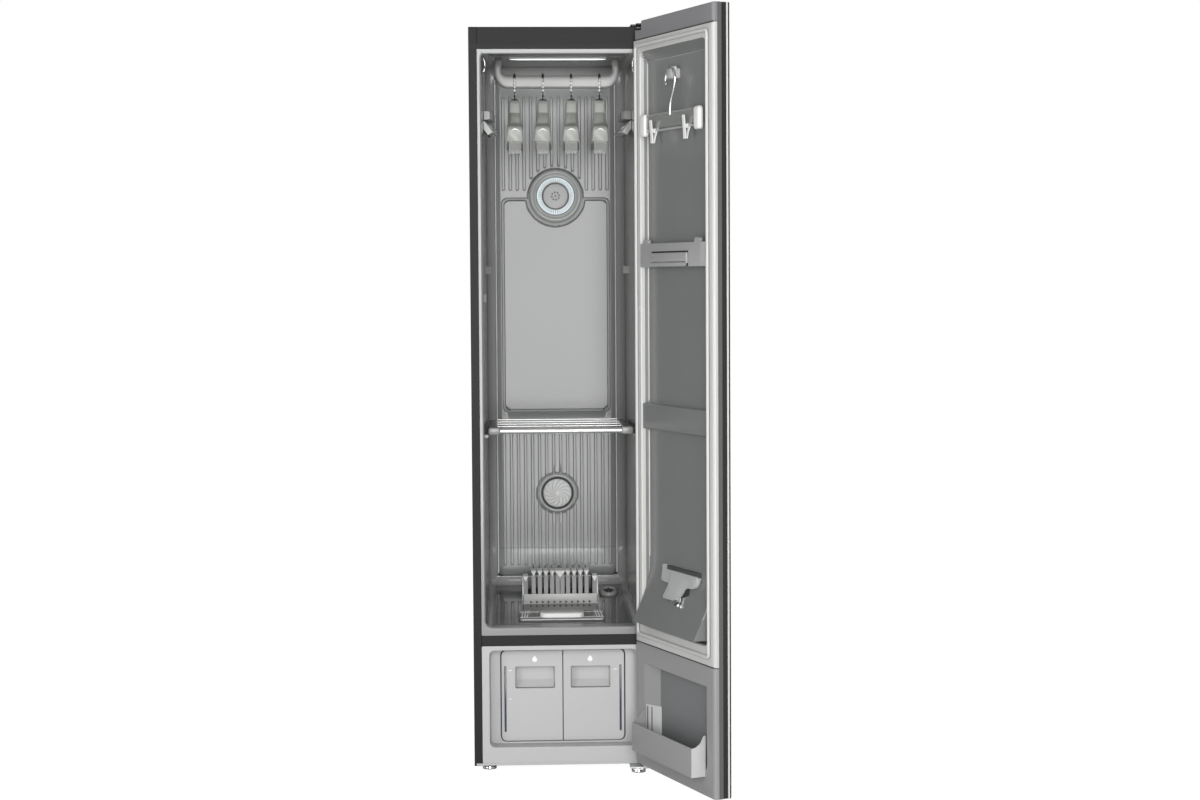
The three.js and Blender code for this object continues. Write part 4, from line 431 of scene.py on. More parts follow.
fine_zs += [steam_z - 0.0575 + 0.0023 * k for k in range(51)]
zs = spaced([z for z in end_zs + channel_zs + corner_zs + fine_zs if z < wall_high] + [wall_low, wall_high],
            0.03)
wall_corner = 0.02


def in_corner(x, z):
    """Draws the sheet's square corners in to the liner's round ones."""
    over_x = abs(x) - (wall_half - wall_corner)
    over_z = max(z - (wall_high - wall_corner), wall_low + wall_corner - z)
    if over_x <= 0 or over_z <= 0:
        return x, z
    far = math.hypot(over_x, over_z)
    pull = max(over_x, over_z) / far
    new_x = math.copysign(wall_half - wall_corner + over_x * pull, x)
    if z > steam_z + 0.4:
        new_z = wall_high - wall_corner + over_z * pull
    else:
        new_z = wall_low + wall_corner - over_z * pull
    return new_x, new_z


verts = []
for z in zs:
    for x in xs:
        px, pz = in_corner(x, z)
        verts.append(at(px, wall_y - wall_relief(x, z), pz))
cols = len(xs)
faces = [(r * cols + c, r * cols + c + 1, (r + 1) * cols + c + 1, (r + 1) * cols + c)
         for r in range(len(zs) - 1) for c in range(cols - 1)]
rim_loop = [c for c in range(cols)]
rim_loop += [r * cols + cols - 1 for r in range(1, len(zs))]
rim_loop += [(len(zs) - 1) * cols + c for c in range(cols - 2, -1, -1)]
rim_loop += [r * cols for r in range(len(zs) - 2, 0, -1)]
start = len(verts)
for index in rim_loop:
    verts.append(verts[index] + Vector((0, 0.0065, 0)))
for k in range(len(rim_loop)):
    after = (k + 1) % len(rim_loop)
    faces.append((rim_loop[k], rim_loop[after], start + after, start + k))
# Painted shade darkens the wall's colour between its ribs and round its fittings.
rear_plastic = finish("rear_wall_plastic", shade(125, 126, 126), 0.22, mottle=0.03, mottle_size=0.2,
                      grain_size=0.0015, grain_depth=0.00001, crevice=0.5, crevice_reach=0.006, specular=0.4)
# The channel's faces take a darker grey than the wall: painted shade in the groove.
channel_faces = []
for face in faces[:(len(zs) - 1) * (cols - 1)]:
    middle = sum((verts[index] for index in face), Vector()) / 4
    if abs(middle.x - mid_x) < 0.1452 and front_y + wall_y - middle.y < -0.002:
        channel_faces.append(face)
used = sorted({index for face in channel_faces for index in face})
place = {index: k for k, index in enumerate(used)}
make("rear_wall_channel", [verts[index] for index in used], [tuple(place[index] for index in face)
        for face in channel_faces], plain("channel_painted_shade", (70, 71, 71), 0.3), "rear_grey", "cabinet")
left_out = set(channel_faces)
make("rear_wall_sheet", verts, [face for face in faces if face not in left_out], rear_plastic, "rear_grey",
     "cabinet", ["rear_wall"])
dark_line = plain("dark_line", (66, 67, 66), 0.5)
seam_top = [[at(x, wall_y - wall_relief(x, z) - 0.0001, z) for x in xs if abs(x) < 0.1565]
            for z in (0.5044, 0.5054)]
seam_cols = len(seam_top[0])
make("rear_wall_seam", seam_top[0] + seam_top[1], [(c, c + 1, seam_cols + c + 1, seam_cols + c)
                                                   for c in range(seam_cols - 1)], dark_line, "rear_grey",
     "cabinet")
# Pale glossy strips down the rear corners are painted highlights along the liner's rounded corners.
corner_painted_highlight = plain("corner_bead_painted_highlight", (205, 206, 205), 0.16, mottle=0.02)
for side, word in ((-1, "left"), (1, "right")):
    bead = []
    for z, half, proud in ((0.436, 0.0006, 0.0006), (0.4375, 0.0016, 0.0018), (0.44, 0.0016, 0.0018),
                           (1.75, 0.0016, 0.0018), (1.756, 0.0006, 0.0006)):
        middle = side * (0.159 if z > 0.44 else 0.1592)
        bead.append([at(middle + half * math.cos(math.radians(a)),
                        wall_y - 0.0002 - proud * math.sin(math.radians(a)), z)
                     for a in range(0, 181, 18)] + [at(middle - half, wall_y + 0.0006, z),
                                                    at(middle + half, wall_y + 0.0006, z)])
    make(f"rear_corner_highlight_{word}", *lofted(bead), corner_painted_highlight, "rear_grey", "cabinet", flat_over=60)
duct_plastic = finish("duct_plastic", shade(185, 186, 184), 0.5)
coat_node("air_duct", duct_plastic)

# Ceiling: the cover's folded lip hangs over the pale flange, whose lower edge is a drip rim; a satin
# panel fills the ceiling round the lamp.

def run_across(section, places):
    """Points and faces of a section in y and z that runs along x through the given places."""
    return lofted([[at(x, y, z) for y, z in section] for x in places])


lip = run_across(((-0.0006, 1.7878), (-0.0008, 1.7884), (-0.0008, 1.801), (0.003, 1.801), (0.003, 1.7878)),
                 (-0.2224, 0.2224))
make("top_cover_lip", *lip, charcoal, "charcoal_steel", "cabinet", flat_over=30)
rim = run_across(((-0.0004, 1.779), (-0.0004, 1.7874), (0.01, 1.7874), (0.01, 1.7776), (0.002, 1.7766),
                  (0.0004, 1.7772)), (-0.189, -0.186, 0.186, 0.189))
make("ceiling_drip_rim", *rim, liner_plastic, "liner_grey", "cabinet", flat_over=40)
panel_satin = finish("ceiling_panel_satin", shade(120, 121, 120), 0.55, mottle=0.03, grain_depth=0.00001,
                     specular=0.3)
panel = run_across(((0.0104, 1.7838), (0.011, 1.7826), (0.128, 1.7826), (0.1286, 1.7838)),
                   (-0.17, -0.169, 0.169, 0.17))
make("ceiling_panel", *panel, panel_satin, "liner_grey", "cabinet", flat_over=40)

# Upper air outlet: a satin bezel with a lens ring of forty-six lit bars round a small capped disc
# with nine holes. The bezel is turned from its profile, as the real moulding is round throughout.


def circle(radius, sides):
    """Points round a circle, as pairs of steps from its middle."""
    return [(radius * math.cos(2 * math.pi * k / sides), radius * math.sin(2 * math.pi * k / sides))
            for k in range(sides)]


def turned(profile, middle, sides=72, closed_ends=True):
    """Points and faces of a body turned about a line along Y, from (radius, depth) pairs."""
    return lofted([[at(middle[0] + u, y, middle[1] + v) for u, v in circle(radius, sides)]
                   for radius, y in profile], closed_ends)


def merged(parts):
    """Several bodies' points and faces as one."""
    verts = []
    faces = []
    for part_verts, part_faces in parts:
        base = len(verts)
        verts += part_verts
        faces += [tuple(index + base for index in face) for face in part_faces]
    return verts, faces


def turned_ring(profile, middle, sides=72):
    """A turned body with a hole through it: the profile closes on itself."""
    return turned(profile + profile[:1], middle, sides, False)


bezel_profile = [(0.0506, 0.4475), (0.0506, 0.44), (0.0514, 0.439), (0.053, 0.4387), (0.0592, 0.4386),
                 (0.0606, 0.4376), (0.0616, 0.4371), (0.065, 0.4371), (0.066, 0.4378), (0.0668, 0.4386),
                 (0.069, 0.4388), (0.0698, 0.4398), (0.0701, 0.4475)]
bezel_plastic = plain("bezel_plastic", (150, 152, 150), 0.2, mottle=0.02)
outlet_middle = (0, outlet_z)
make("outlet_bezel", *turned_ring(bezel_profile, outlet_middle), bezel_plastic, "pale_grey", "cabinet",
     ["vent_bezel"])
lens_grey = plain("lens_grey", (34, 40, 44), 0.3, specular=0.2)
lens = turned_ring([(0.0353, 0.4455), (0.0356, 0.4412), (0.0362, 0.4402), (0.047, 0.4402), (0.0495, 0.4412),
                    (0.0503, 0.4455)], outlet_middle)
make("outlet_lens", *lens, lens_grey, "lamp_white", "cabinet", ["vent_light_ring"])


def lit(name, colour, strength):
    """A diffuser that is lit from inside."""
    made = bpy.data.materials.new(name)
    made.use_nodes = True
    skin = made.node_tree.nodes["Principled BSDF"]
    skin.inputs["Base Color"].default_value = (0.8, 0.85, 0.9, 1)
    skin.inputs["Roughness"].default_value = 0.3
    skin.inputs["Emission Color"].default_value = colour
    skin.inputs["Emission Strength"].default_value = strength
    return made


ring_light = lit("ring_light", (0.86, 0.96, 1.0, 1), 1.0)
ring_glow = lit("ring_glow", (0.42, 0.56, 0.62, 1), 0.6)
bar_count = 46
bars = []
for k in range(bar_count):
    middle = 2 * math.pi * k / bar_count
    wide = 2 * math.pi / bar_count * 0.16
    corners = []
    for y in (0.4408, 0.4394):
        for angle, radius in ((middle - wide, 0.0362), (middle + wide, 0.0362), (middle + wide, 0.0468),
                              (middle - wide, 0.0468)):
            corners.append(at(radius * math.cos(angle), y, outlet_z + radius * math.sin(angle)))
    bars.append((corners, [(0, 1, 2, 3), (4, 5, 6, 7), (0, 1, 5, 4), (1, 2, 6, 5), (2, 3, 7, 6), (3, 0, 4, 7)]))
make("outlet_light_bars", *merged(bars), ring_light, "lamp_white", "cabinet", flat_over=30)
halo = turned_ring([(0.047, 0.4404), (0.0471, 0.4397), (0.0492, 0.4404), (0.0491, 0.441)], outlet_middle)
make("outlet_glow_rim", *halo, ring_glow, "lamp_white", "cabinet")
cap_verts, cap_faces = turned([(0.0352, 0.4455), (0.0352, 0.4402), (0.0342, 0.439), (0.0312, 0.4386)],
                              outlet_middle)
make("outlet_cap", cap_verts, cap_faces, rear_plastic, "rear_grey", "cabinet", ["vent_cap"])
# One dark grey for small dark parts and joint lines, and for painted shade: dark discs and strips that stand
# for the shade in holes, slots and gaps and under the hooks.
dark_detail_and_painted_shade = plain("dark_detail_and_painted_shade", (38, 40, 41), 0.7)
holes = []
for k in range(9):
    angle = 2 * math.pi * k / 8 + 0.2
    off = 0.0 if k == 8 else 0.01
    spot = (off * math.cos(angle), outlet_z + off * math.sin(angle))
    holes.append(turned([(0.0023, 0.4388), (0.0023, 0.43845), (0.0017, 0.43842)], spot, 12))
make("outlet_cap_holes", *merged(holes), dark_detail_and_painted_shade, "rear_grey", "cabinet", flat_over=30)

# Steam outlet: a ring moulding of satin plastic round a fluted, rather glossy cap that spreads the
# steam. Both clip into the rear wall.
steam_middle = (0, steam_z)
steam_ring = turned_ring([(0.043, 0.4495), (0.043, 0.4446), (0.0436, 0.443), (0.0444, 0.442), (0.0484, 0.4416),
                          (0.0496, 0.4424), (0.0503, 0.444), (0.0508, 0.4495)], steam_middle)
# A dark disc behind the cap is painted shade in the gap round it.
steam_gap = turned([(0.0429, 0.448), (0.0429, 0.4462)], steam_middle)
flute_rings = []
flute_rows = [(0.0378, 0.448), (0.0378, 0.4412), (0.0368, 0.4398), (0.0345, 0.4388), (0.031, 0.4384),
              (0.026, 0.4382), (0.021, 0.4381), (0.016, 0.438), (0.011, 0.438), (0.007, 0.438), (0.003, 0.438)]
flute_sides = 168
vanes = 14
for row, (radius, y) in enumerate(flute_rows):
    ring = []
    for k in range(flute_sides):
        angle = 2 * math.pi * k / flute_sides
        swirl = (1 - radius / 0.0387) * 1.1
        fold = (angle * vanes / (2 * math.pi)) % 1.0
        wave = 0.006 * fold * min(1.0, radius / 0.026) if 1 <= row <= 9 else 0
        turned_to = angle + swirl
        ring.append(at(radius * math.cos(turned_to), y + wave, steam_z + radius * math.sin(turned_to)))
    flute_rings.append(ring)
# The cap's flutes are darkened by painted shade in their folds.
steam_gloss = plain("steam_cap_plastic", (222, 223, 222), 0.2, mottle=0.02, crevice=0.35, crevice_reach=0.004)
make("steam_ring", *steam_ring, bezel_plastic, "pale_grey", "cabinet", ["steam_outlet_cap"])
make("steam_gap", *steam_gap, plain("steam_gap_painted_shade", (30, 31, 32), 0.6), "pale_grey", "cabinet", flat_over=30)
make("steam_cap", *lofted(flute_rings), steam_gloss, "pale_grey", "cabinet", flat_over=38)

# Ceiling lamp: a long thin diffuser lens of milky plastic under the cavity's ceiling, near its front.
# It clips over a light strip in a slim grey housing.
lamp_body = plain("lamp_housing", (120, 121, 121), 0.3)
coat_node("ceiling_lamp", lamp_body, 0.0008)
strip_light = lit("strip_light", (1.0, 1.0, 1.0, 1), 0.95)
strip = [[at(x, y, 1.7754 + v * half) for y, v in ((0.1292, 0.6), (0.1292, -0.6), (0.13, -1.0), (0.134, -1.0),
                                                   (0.134, 1.0), (0.13, 1.0))]
         for x, half in ((-0.1205, 0.0002), (-0.116, 0.0006), (-0.108, 0.001), (-0.098, 0.0014),
                         (0.098, 0.0014), (0.108, 0.001), (0.116, 0.0006), (0.1205, 0.0002))]
make("ceiling_lamp_lens", *lofted(strip), strip_light, "lamp_white", "cabinet", flat_over=50)

# Machinery behind the tanks and over the ceiling: a black enamelled compressor, a black blower with
# its wheel, a cast boiler and the motor that rocks the hanger bar.
black_enamel = finish("black_enamel", shade(34, 34, 35), 0.3, grain_size=0.002, grain_depth=0.00004)
black_plastic = finish("black_plastic", shade(30, 30, 31), 0.5)
cast_alloy = finish("cast_alloy", shade(176, 177, 178), 0.45, metallic=0.8, mottle=0.1, mottle_size=0.01,
                    grain_size=0.0015, grain_depth=0.00008)
coat_node("compressor", black_enamel, 0.001)
coat_node("blower_housing", black_plastic)
coat_node("fan_wheel", black_plastic, 0.0003)
coat_node("steam_generator", cast_alloy, 0.001)
coat_node("hanger_motor", cast_alloy, 0.001)

# Hanger bar: a glossy moulded bar whose two arms curve up into the ceiling. It is swept along a U with
# rounded corners; thin dark strips over the bar under the hooks are painted shadow.
bar_y = 0.22
bar_low = 1.71
bar_half = 0.1595
arm_half = 0.0092
base_half = 0.0167
bend = 0.026
path = [(-bar_half + arm_half + 0.0025, 1.7832, 0)]
path.append((-bar_half + arm_half, bar_low + base_half + bend + 0.012, 0))
for step in range(9):
    angle = math.radians(180 + 90 * step / 8)
    path.append((-bar_half + arm_half + bend + bend * math.cos(angle),
                 bar_low + base_half + bend + 0.002 + bend * math.sin(angle), math.radians(90 * step / 8)))
path += [(-x, z, math.pi - turn) for x, z, turn in reversed(path)]
rings = []
for k, (x, z, turn) in enumerate(path):
    level = math.sin(turn) ** 2
    half = arm_half + (base_half - arm_half) * level
    centre_z = z - 0.002 * level
    side = (math.cos(turn), math.sin(turn))
    ring = [at(x + u * side[0], bar_y + v, centre_z + u * side[1])
            for u, v in rounded_ring(half, 0.009, 0.006)]
    rings.append(ring)
bar_plastic = plain("bar_plastic", (138, 139, 137), 0.26, mottle=0.02, mottle_size=0.1)
make("hanger_bar_tube", *lofted(rings), bar_plastic, "pale_grey", "hanger_bar", ["hanger_bar"])
# Painted shadow: thin dark strips over the bar where each hook crosses it.
hook_shadows = []
hanger_places = [-0.108, -0.036, 0.036, 0.108]
for x in hanger_places:
    ring_rows = [[at(x + u, bar_y + y + v * 0.2, z + v) for u, v in rounded_ring(0.0032, 0.0006, 0.0005, 1)]
                 for y, z in ((-0.0094, 1.735), (-0.0098, 1.7405), (-0.0085, 1.744), (0.0085, 1.744))]
    hook_shadows.append(lofted(ring_rows))
make("hanger_bar_saddles", *merged(hook_shadows), dark_detail_and_painted_shade, "pale_grey", "hanger_bar")
seams = [lofted([[at(side * (bar_half - arm_half) + u, bar_y + v, 1.7668 + w)
                  for u, v in rounded_ring(0.0087, 0.0092, 0.006)] for w in (-0.0004, 0.0004)])
         for side in (-1, 1)]
make("hanger_bar_arm_seams", *merged(seams), dark_detail_and_painted_shade, "pale_grey", "hanger_bar", flat_over=30)

# Hangers: a chrome wire hook with bulges along it, drawn dark between the bulges and white on them,
# which is painted shade and painted highlight; a pale collar, a grey-green translucent shoulder that
# swells towards both tips, pale tip caps and a clear keel below each cap.


def swept(path, radius, sides=12):
    """Points and faces of a wire of one thickness along a path."""
    rings = []
    for k, point in enumerate(path):
        before = path[max(0, k - 1)]
        after = path[min(len(path) - 1, k + 1)]
        along = (Vector(after) - Vector(before)).normalized()
        side = Vector((1, 0, 0)) if abs(along.x) < 0.9 else Vector((0, 1, 0))
        other = along.cross(side).normalized()
        side = other.cross(along).normalized()
        ring = []
        for j in range(sides):
            angle = 2 * math.pi * j / sides
            spot = Vector(point) + radius * (math.cos(angle) * side + math.sin(angle) * other)
            ring.append(at(*spot))
        rings.append(ring)
    return lofted(rings)


chrome = finish("chrome", (0.8, 0.81, 0.82, 1), 0.08, metallic=1.0, mottle=0.02, grain_depth=0)
hanger_plastic = plain("hanger_plastic", (144, 146, 141), 0.34, mottle=0.02, mottle_size=0.05)
shoulder_plastic = plain("hanger_shoulder_plastic", (192, 196, 184), 0.22, mottle=0.06, mottle_size=0.02)


def clear_plastic(name, colour, cover, roughness):
    """A thin clear moulding: mostly see-through, with a faint body and its own gloss."""
    made = bpy.data.materials.new(name)
    made.use_nodes = True
    nodes = made.node_tree.nodes
    links = made.node_tree.links
    skin = nodes["Principled BSDF"]
    skin.inputs["Base Color"].default_value = colour
    skin.inputs["Roughness"].default_value = roughness
    skin.inputs["Alpha"].default_value = cover
    edge = nodes.new("ShaderNodeLayerWeight")
    edge.inputs["Blend"].default_value = 0.35
    body = nodes.new("ShaderNodeMapRange")
    body.inputs["To Min"].default_value = cover
    body.inputs["To Max"].default_value = min(1.0, cover + 0.5)
    links.new(edge.outputs["Facing"], body.inputs["Value"])
    links.new(body.outputs["Result"], skin.inputs["Alpha"])
    return made


clear_keel = clear_plastic("clear_keel", shade(160, 162, 158), 0.17, 0.25)
neck_top = 1.679
reach = 0.192


def shoulder_station(share):
    """Half widths below and above, bottom and top of a hanger's arm at a share of its reach."""
    half_low = 0.0156 + 0.006 * share
    half_high = 0.0144 + 0.004 * share
    return half_low, half_high, 1.632 - 0.067 * share ** 1.08, 1.652 - 0.052 * share ** 1.1


def arm_ring(x, y, half_low, half_high, low, high, corner):
    """A cross-section of an arm: a flat broad bottom, slanted sides and a rounded narrower top."""
    ring = []
    for side_u, side_v, start, radius in ((1, 1, 0, corner), (-1, 1, 90, corner), (-1, -1, 180, 0.0012),
                                          (1, -1, 270, 0.0012)):
        for step in range(6):
            angle = math.radians(start + 18 * step)
            v = side_v * ((high - low) / 2 - radius) + radius * math.sin(angle)
            half = half_low + (half_high - half_low) * (0.5 + v / (high - low))
            ring.append(at(x + side_u * (half - radius) + radius * math.cos(angle), y, (low + high) / 2 + v))
    return ring


def upright(profile, middle, sides=48):
    """Points and faces of a body turned about an upright line, from (radius, height) pairs."""
    return lofted([[at(middle[0] + u, middle[1] + v, z) for u, v in circle(radius, sides)]
                   for radius, z in profile])


# The hook wire is a dark copy of chrome and its bulges a white one: painted shade and painted highlight.
hook_chrome = finish("hook_chrome", (0.3, 0.3, 0.31, 1), 0.2, metallic=1.0, mottle=0.02, grain_depth=0)
hook_bead_painted_highlight = finish("hook_bead_painted_highlight", (0.95, 0.95, 0.95, 1), 0.3, metallic=0.3, grain_depth=0)
# A white arch on the near tip's top edge is a painted highlight.
tip_painted_highlight = plain("hanger_tip_gloss", (250, 250, 248), 0.1)
leans = [0.008, 0.026, 0.034, 0.034]
hook_centre_z = 1.7338
hook_bend = 0.0135
hook_rise = 0.056
for number, x in enumerate(hanger_places, 1):
    body = f"hanger_{number}"
    lean = leans[number - 1]
    wire_path = [(x, bar_y, neck_top - 0.004)]
    for step in range(16):
        wire_path.append((x, bar_y - hook_bend * smooth_step(step, 0, 6), neck_top + hook_rise * step / 15))
    for step in range(1, 13):
        angle = math.radians(180 - 180 * step / 12)
        wire_path.append((x, bar_y + hook_bend * math.cos(angle), hook_centre_z + hook_bend * math.sin(angle)))
    wire_path.append((x, bar_y + hook_bend, 1.72))
    dense = []
    for a, b in zip(wire_path, wire_path[1:]):
        for piece in range(4):
            dense.append(tuple(Vector(a).lerp(Vector(b), piece / 4)))
    dense.append(wire_path[-1])
    make(f"hanger_hook_wire_{number}", *swept(dense, 0.0019), hook_chrome, "chrome", body,
         [f"hanger_hook_{number}"])
    beads = []
    for k in range(5):
        z = neck_top + 0.005 + 0.0088 * k
        y = bar_y - hook_bend * smooth_step((z - neck_top) / hook_rise * 15, 0, 6)
        beads.append(upright([(0.0014, z), (0.0028, z + 0.0012), (0.0032, z + 0.0028), (0.0028, z + 0.0044),
                              (0.0014, z + 0.0056)], (x, y), 16))
    make(f"hanger_hook_beads_{number}", *merged(beads), hook_bead_painted_highlight, "chrome", body, flat_over=60)
    ferrule = upright([(0.0086, neck_top + 0.0002), (0.009, neck_top + 0.001), (0.0086, neck_top + 0.0034),
                       (0.004, neck_top + 0.0046)], (x, bar_y), 24)
    make(f"hanger_ferrule_{number}", *ferrule, dark_detail_and_painted_shade, "chrome", body, flat_over=50)
    collar = [[at(x + u, bar_y + v, z) for u, v in rounded_ring(half, depth, 0.0045)]
              for z, half, depth in ((1.634, 0.0158, 0.018), (1.65, 0.0155, 0.0178), (1.67, 0.0144, 0.0165),
                                     (1.6772, 0.0137, 0.0155), (1.679, 0.0122, 0.0135))]
    parts = [lofted(collar)]
    shoulders = []
    keels = []
    for side in (-1, 1):
        rings = []
        for k in range(13):
            share = 0.06 + 0.74 * k / 12
            half_low, half_high, low, high = shoulder_station(share)
            along = side * reach * share
            rings.append(arm_ring(x + along * lean, bar_y + along, half_low - 0.0006, half_high - 0.0006,
                                  low + 0.0006, high, 0.007))
        shoulders.append(lofted(rings))
        rings = []
        for share, top_drop, shrink in ((0.78, 0.0, 0.0), (0.84, 0.0, 0.0), (0.92, 0.0, 0.0),
                                        (0.968, 0.0006, 0.0), (0.982, 0.0018, 0.0004), (0.991, 0.004, 0.001),
                                        (0.997, 0.0068, 0.0016), (1.0, 0.01, 0.0026)):
            half_low, half_high, low, high = shoulder_station(share)
            along = side * reach * share
            rings.append(arm_ring(x + along * lean, bar_y + along, half_low + 0.0002 - shrink,
                                  half_high + 0.0002 - shrink, low, high + 0.001 - top_drop, 0.007))
        parts.append(lofted(rings))
        if side < 0:
            half_low, half_high, low, high = shoulder_station(1.0)
            arch = []
            for step in range(9):
                u = -0.01 + 0.0215 * step / 8
                z = 1.595 - 0.0075 * ((u - 0.0005) / 0.0115) ** 2
                thin = 0.0016 * math.sin(math.pi * (step + 0.35) / 8.7)
                arch.append([at(x + u - reach * lean, bar_y - reach * 0.9985 + v, z + w * thin)
                             for v, w in ((0.0, 1.0), (-0.001, 0.6), (-0.001, -0.6), (0.0, -1.0), (0.004, -1.0),
                                          (0.004, 1.0))])
            make(f"hanger_tip_gleam_{number}", *lofted(arch), tip_painted_highlight, "hanger_grey", body, flat_over=60)
        for share_0, share_1, off, thick in ((0.972, 0.98, 0.0, 0.015), (0.7, 0.971, -0.0144, 0.0006),
                                             (0.7, 0.971, 0.0144, 0.0006)):
            keel = []
            keel_low = 1.5342 if side < 0 else 1.556
            for z, inset in ((1.5652, 0.0), (keel_low + 0.0038, 0.0), (keel_low + 0.0013, 0.0006),
                             (keel_low, 0.0018)):
                ring = []
                for share, sign in ((share_0, -1), (share_0, 1), (share_1, 1), (share_1, -1)):
                    along = side * reach * share
                    wide = thick - (inset if thick > 0.01 else 0)
                    ring.append(at(x + off + along * lean + sign * wide, bar_y + along, z))
                keel.append(ring)
            keels.append(lofted(keel))
    make(f"hanger_caps_{number}", *merged(parts), hanger_plastic, "hanger_grey", body,
         [f"hanger_body_{number}"], flat_over=60)
    make(f"hanger_shoulders_{number}", *merged(shoulders), shoulder_plastic, "hanger_grey", body, flat_over=60)
    make(f"hanger_keels_{number}", *merged(keels), clear_keel, "hanger_grey", body, flat_over=30)

# Shelf: a bright drawn tube in front, five thinner rods behind it and two moulded side rails with a
# rounded cap at the front.
bright_tube = finish("bright_tube", (0.88, 0.88, 0.87, 1), 0.34, metallic=0.85, mottle=0.03, grain_depth=0)
bright_rod = finish("bright_rod", (0.62, 0.62, 0.61, 1), 0.3, metallic=0.9, mottle=0.02, grain_depth=0)
shelf_z = 0.845
rods = []
for k in range(6):
    y = 0.069 + 0.0615 * k
    radius = 0.0064 if k == 0 else 0.0018
    z = shelf_z + (0.0018 * k if k else 0)
    rings = [[at(x, y + u, z + v) for u, v in circle(radius, 20)]
             for x in (-0.1578, -0.155, -0.05, 0.05, 0.155, 0.1578)]
    rods.append(lofted(rings))
make("shelf_front_tube", *rods[0], bright_tube, "bright_steel", "shelf", ["shelf_rack"], flat_over=50)
make("shelf_rods", *merged(rods[1:]), bright_rod, "bright_steel", "shelf", flat_over=50)
for side, word in ((-1, "left"), (1, "right")):
    rail = []
    for y, shrink in ((0.06, 0.003), (0.0608, 0.0012), (0.0625, 0.0), (0.09, 0.0), (0.093, 0.0022),
                      (0.396, 0.0022), (0.4, 0.0045)):
        half_x = 0.015 - shrink
        half_z = 0.009 - shrink
        middle = side * (0.1665 + (0.003 if y > 0.092 else 0))
        rail.append([at(middle + u, y, shelf_z + v)
                     for u, v in rounded_ring(half_x - (0.003 if y > 0.092 else 0), half_z, 0.0045)])
    make(f"shelf_side_{word}", *lofted(rail), bar_plastic, "pale_grey", "shelf", [f"shelf_rail_{word}"])

# Wall fittings: on each side a hood with a slanted blade under it, a wire guide near the ceiling and
# a small door sensor on the left.


def wall_half_at(y):
    """Half the cavity's width, which narrows towards the back."""
    return 0.192 - 0.009 * y / 0.45


guide_y = 0.03
for side, word in ((-1, "left"), (1, "right")):
    hood = []
    blade = []
    for y, grow in ((0.19, 0.6), (0.196, 0.9), (0.204, 1.0), (0.296, 1.0), (0.304, 0.9), (0.31, 0.6)):
        wall = wall_half_at(y) - 0.0003
        out = [(wall, 1.629), (wall - 0.025 * grow, 1.629), (wall - 0.027 * grow, 1.6315),
               (wall - 0.027 * grow, 1.647), (wall - 0.023 * grow, 1.652), (wall, 1.652)]
        hood.append([at(side * px, y, pz) for px, pz in out])
        cut = [(wall, 1.6278), (wall - 0.004, 1.625), (wall - 0.0365 * grow, 1.6),
               (wall - 0.0352 * grow, 1.597), (wall - 0.017 * grow, 1.5906), (wall, 1.6055)]
        blade.append([at(side * px, y, pz) for px, pz in cut])
    make(f"wing_hood_{word}", *lofted(hood), liner_plastic, "pale_grey", "cabinet", [f"upper_wing_{word}"],
         edge=0.0012)
    make(f"wing_blade_{word}", *lofted(blade), bezel_plastic, "pale_grey", "cabinet", edge=0.0008)
    wall = wall_half_at(guide_y)
    path = [(side * (wall - inward), guide_y + back, z)
            for inward, back, z in ((-0.0005, 0, 1.77), (0.006, 0, 1.768), (0.009, 0.003, 1.76),
                                    (0.009, 0.003, 1.745), (0.007, 0, 1.736), (-0.0005, 0, 1.733))]
    make(f"ceiling_guide_{word}", *swept(path, 0.0016), chrome, "pale_grey", "cabinet")
coat_node("door_sensor", bar_plastic, 0.0008)

# Floor nozzle: a round steam nozzle of grey plastic with slots like a star in its sunk top. It is
# pressed into the sloped floor.
nozzle_x = 0.13
nozzle_y = 0.33
floor_rise = 0.047 / 0.45
nozzle_floor = 0.36 + floor_rise * nozzle_y
nozzle_rows = [[at(nozzle_x + u, nozzle_y + v, nozzle_floor + rise + slope * v) for u, v in circle(radius, 48)]
               for radius, rise, slope in ((0.0228, -0.0022, floor_rise), (0.023, 0.006, 0.2),
                                           (0.0226, 0.009, 0.26), (0.0205, 0.0118, 0.3), (0.018, 0.0126, 0.3),
                                           (0.016, 0.0122, 0.3), (0.0148, 0.0096, 0.3), (0.002, 0.009, 0.3))]
make("nozzle_ring", *lofted(nozzle_rows), bar_plastic, "pale_grey", "cabinet", ["floor_nozzle"])
slots = []
for k in range(5):
    angle = 2 * math.pi * k / 5 + 0.3
    ring_rows = []
    for lift in (0.0092, 0.0106):
        ring = []
        for u, v in rounded_ring(0.0055, 0.0034, 0.003, 3):
            along = 0.008 + u
            off_y = along * math.sin(angle) + v * math.cos(angle)
            ring.append(at(nozzle_x + along * math.cos(angle) - v * math.sin(angle),
                           nozzle_y + off_y, nozzle_floor + lift + 0.3 * off_y))
        ring_rows.append(ring)
    slots.append(lofted(ring_rows))
make("nozzle_slots", *merged(slots), dark_detail_and_painted_shade, "pale_grey", "cabinet", flat_over=30)

# Lint filter: a lift-out frame with a pale front band, a row of small holes, and wedge-topped fins
# that carry the fleece; the floor under it shines and mirrors it.


def floor_at(y):
    """Height of the cavity's sloped floor at one depth."""
    return 0.36 + floor_rise * y


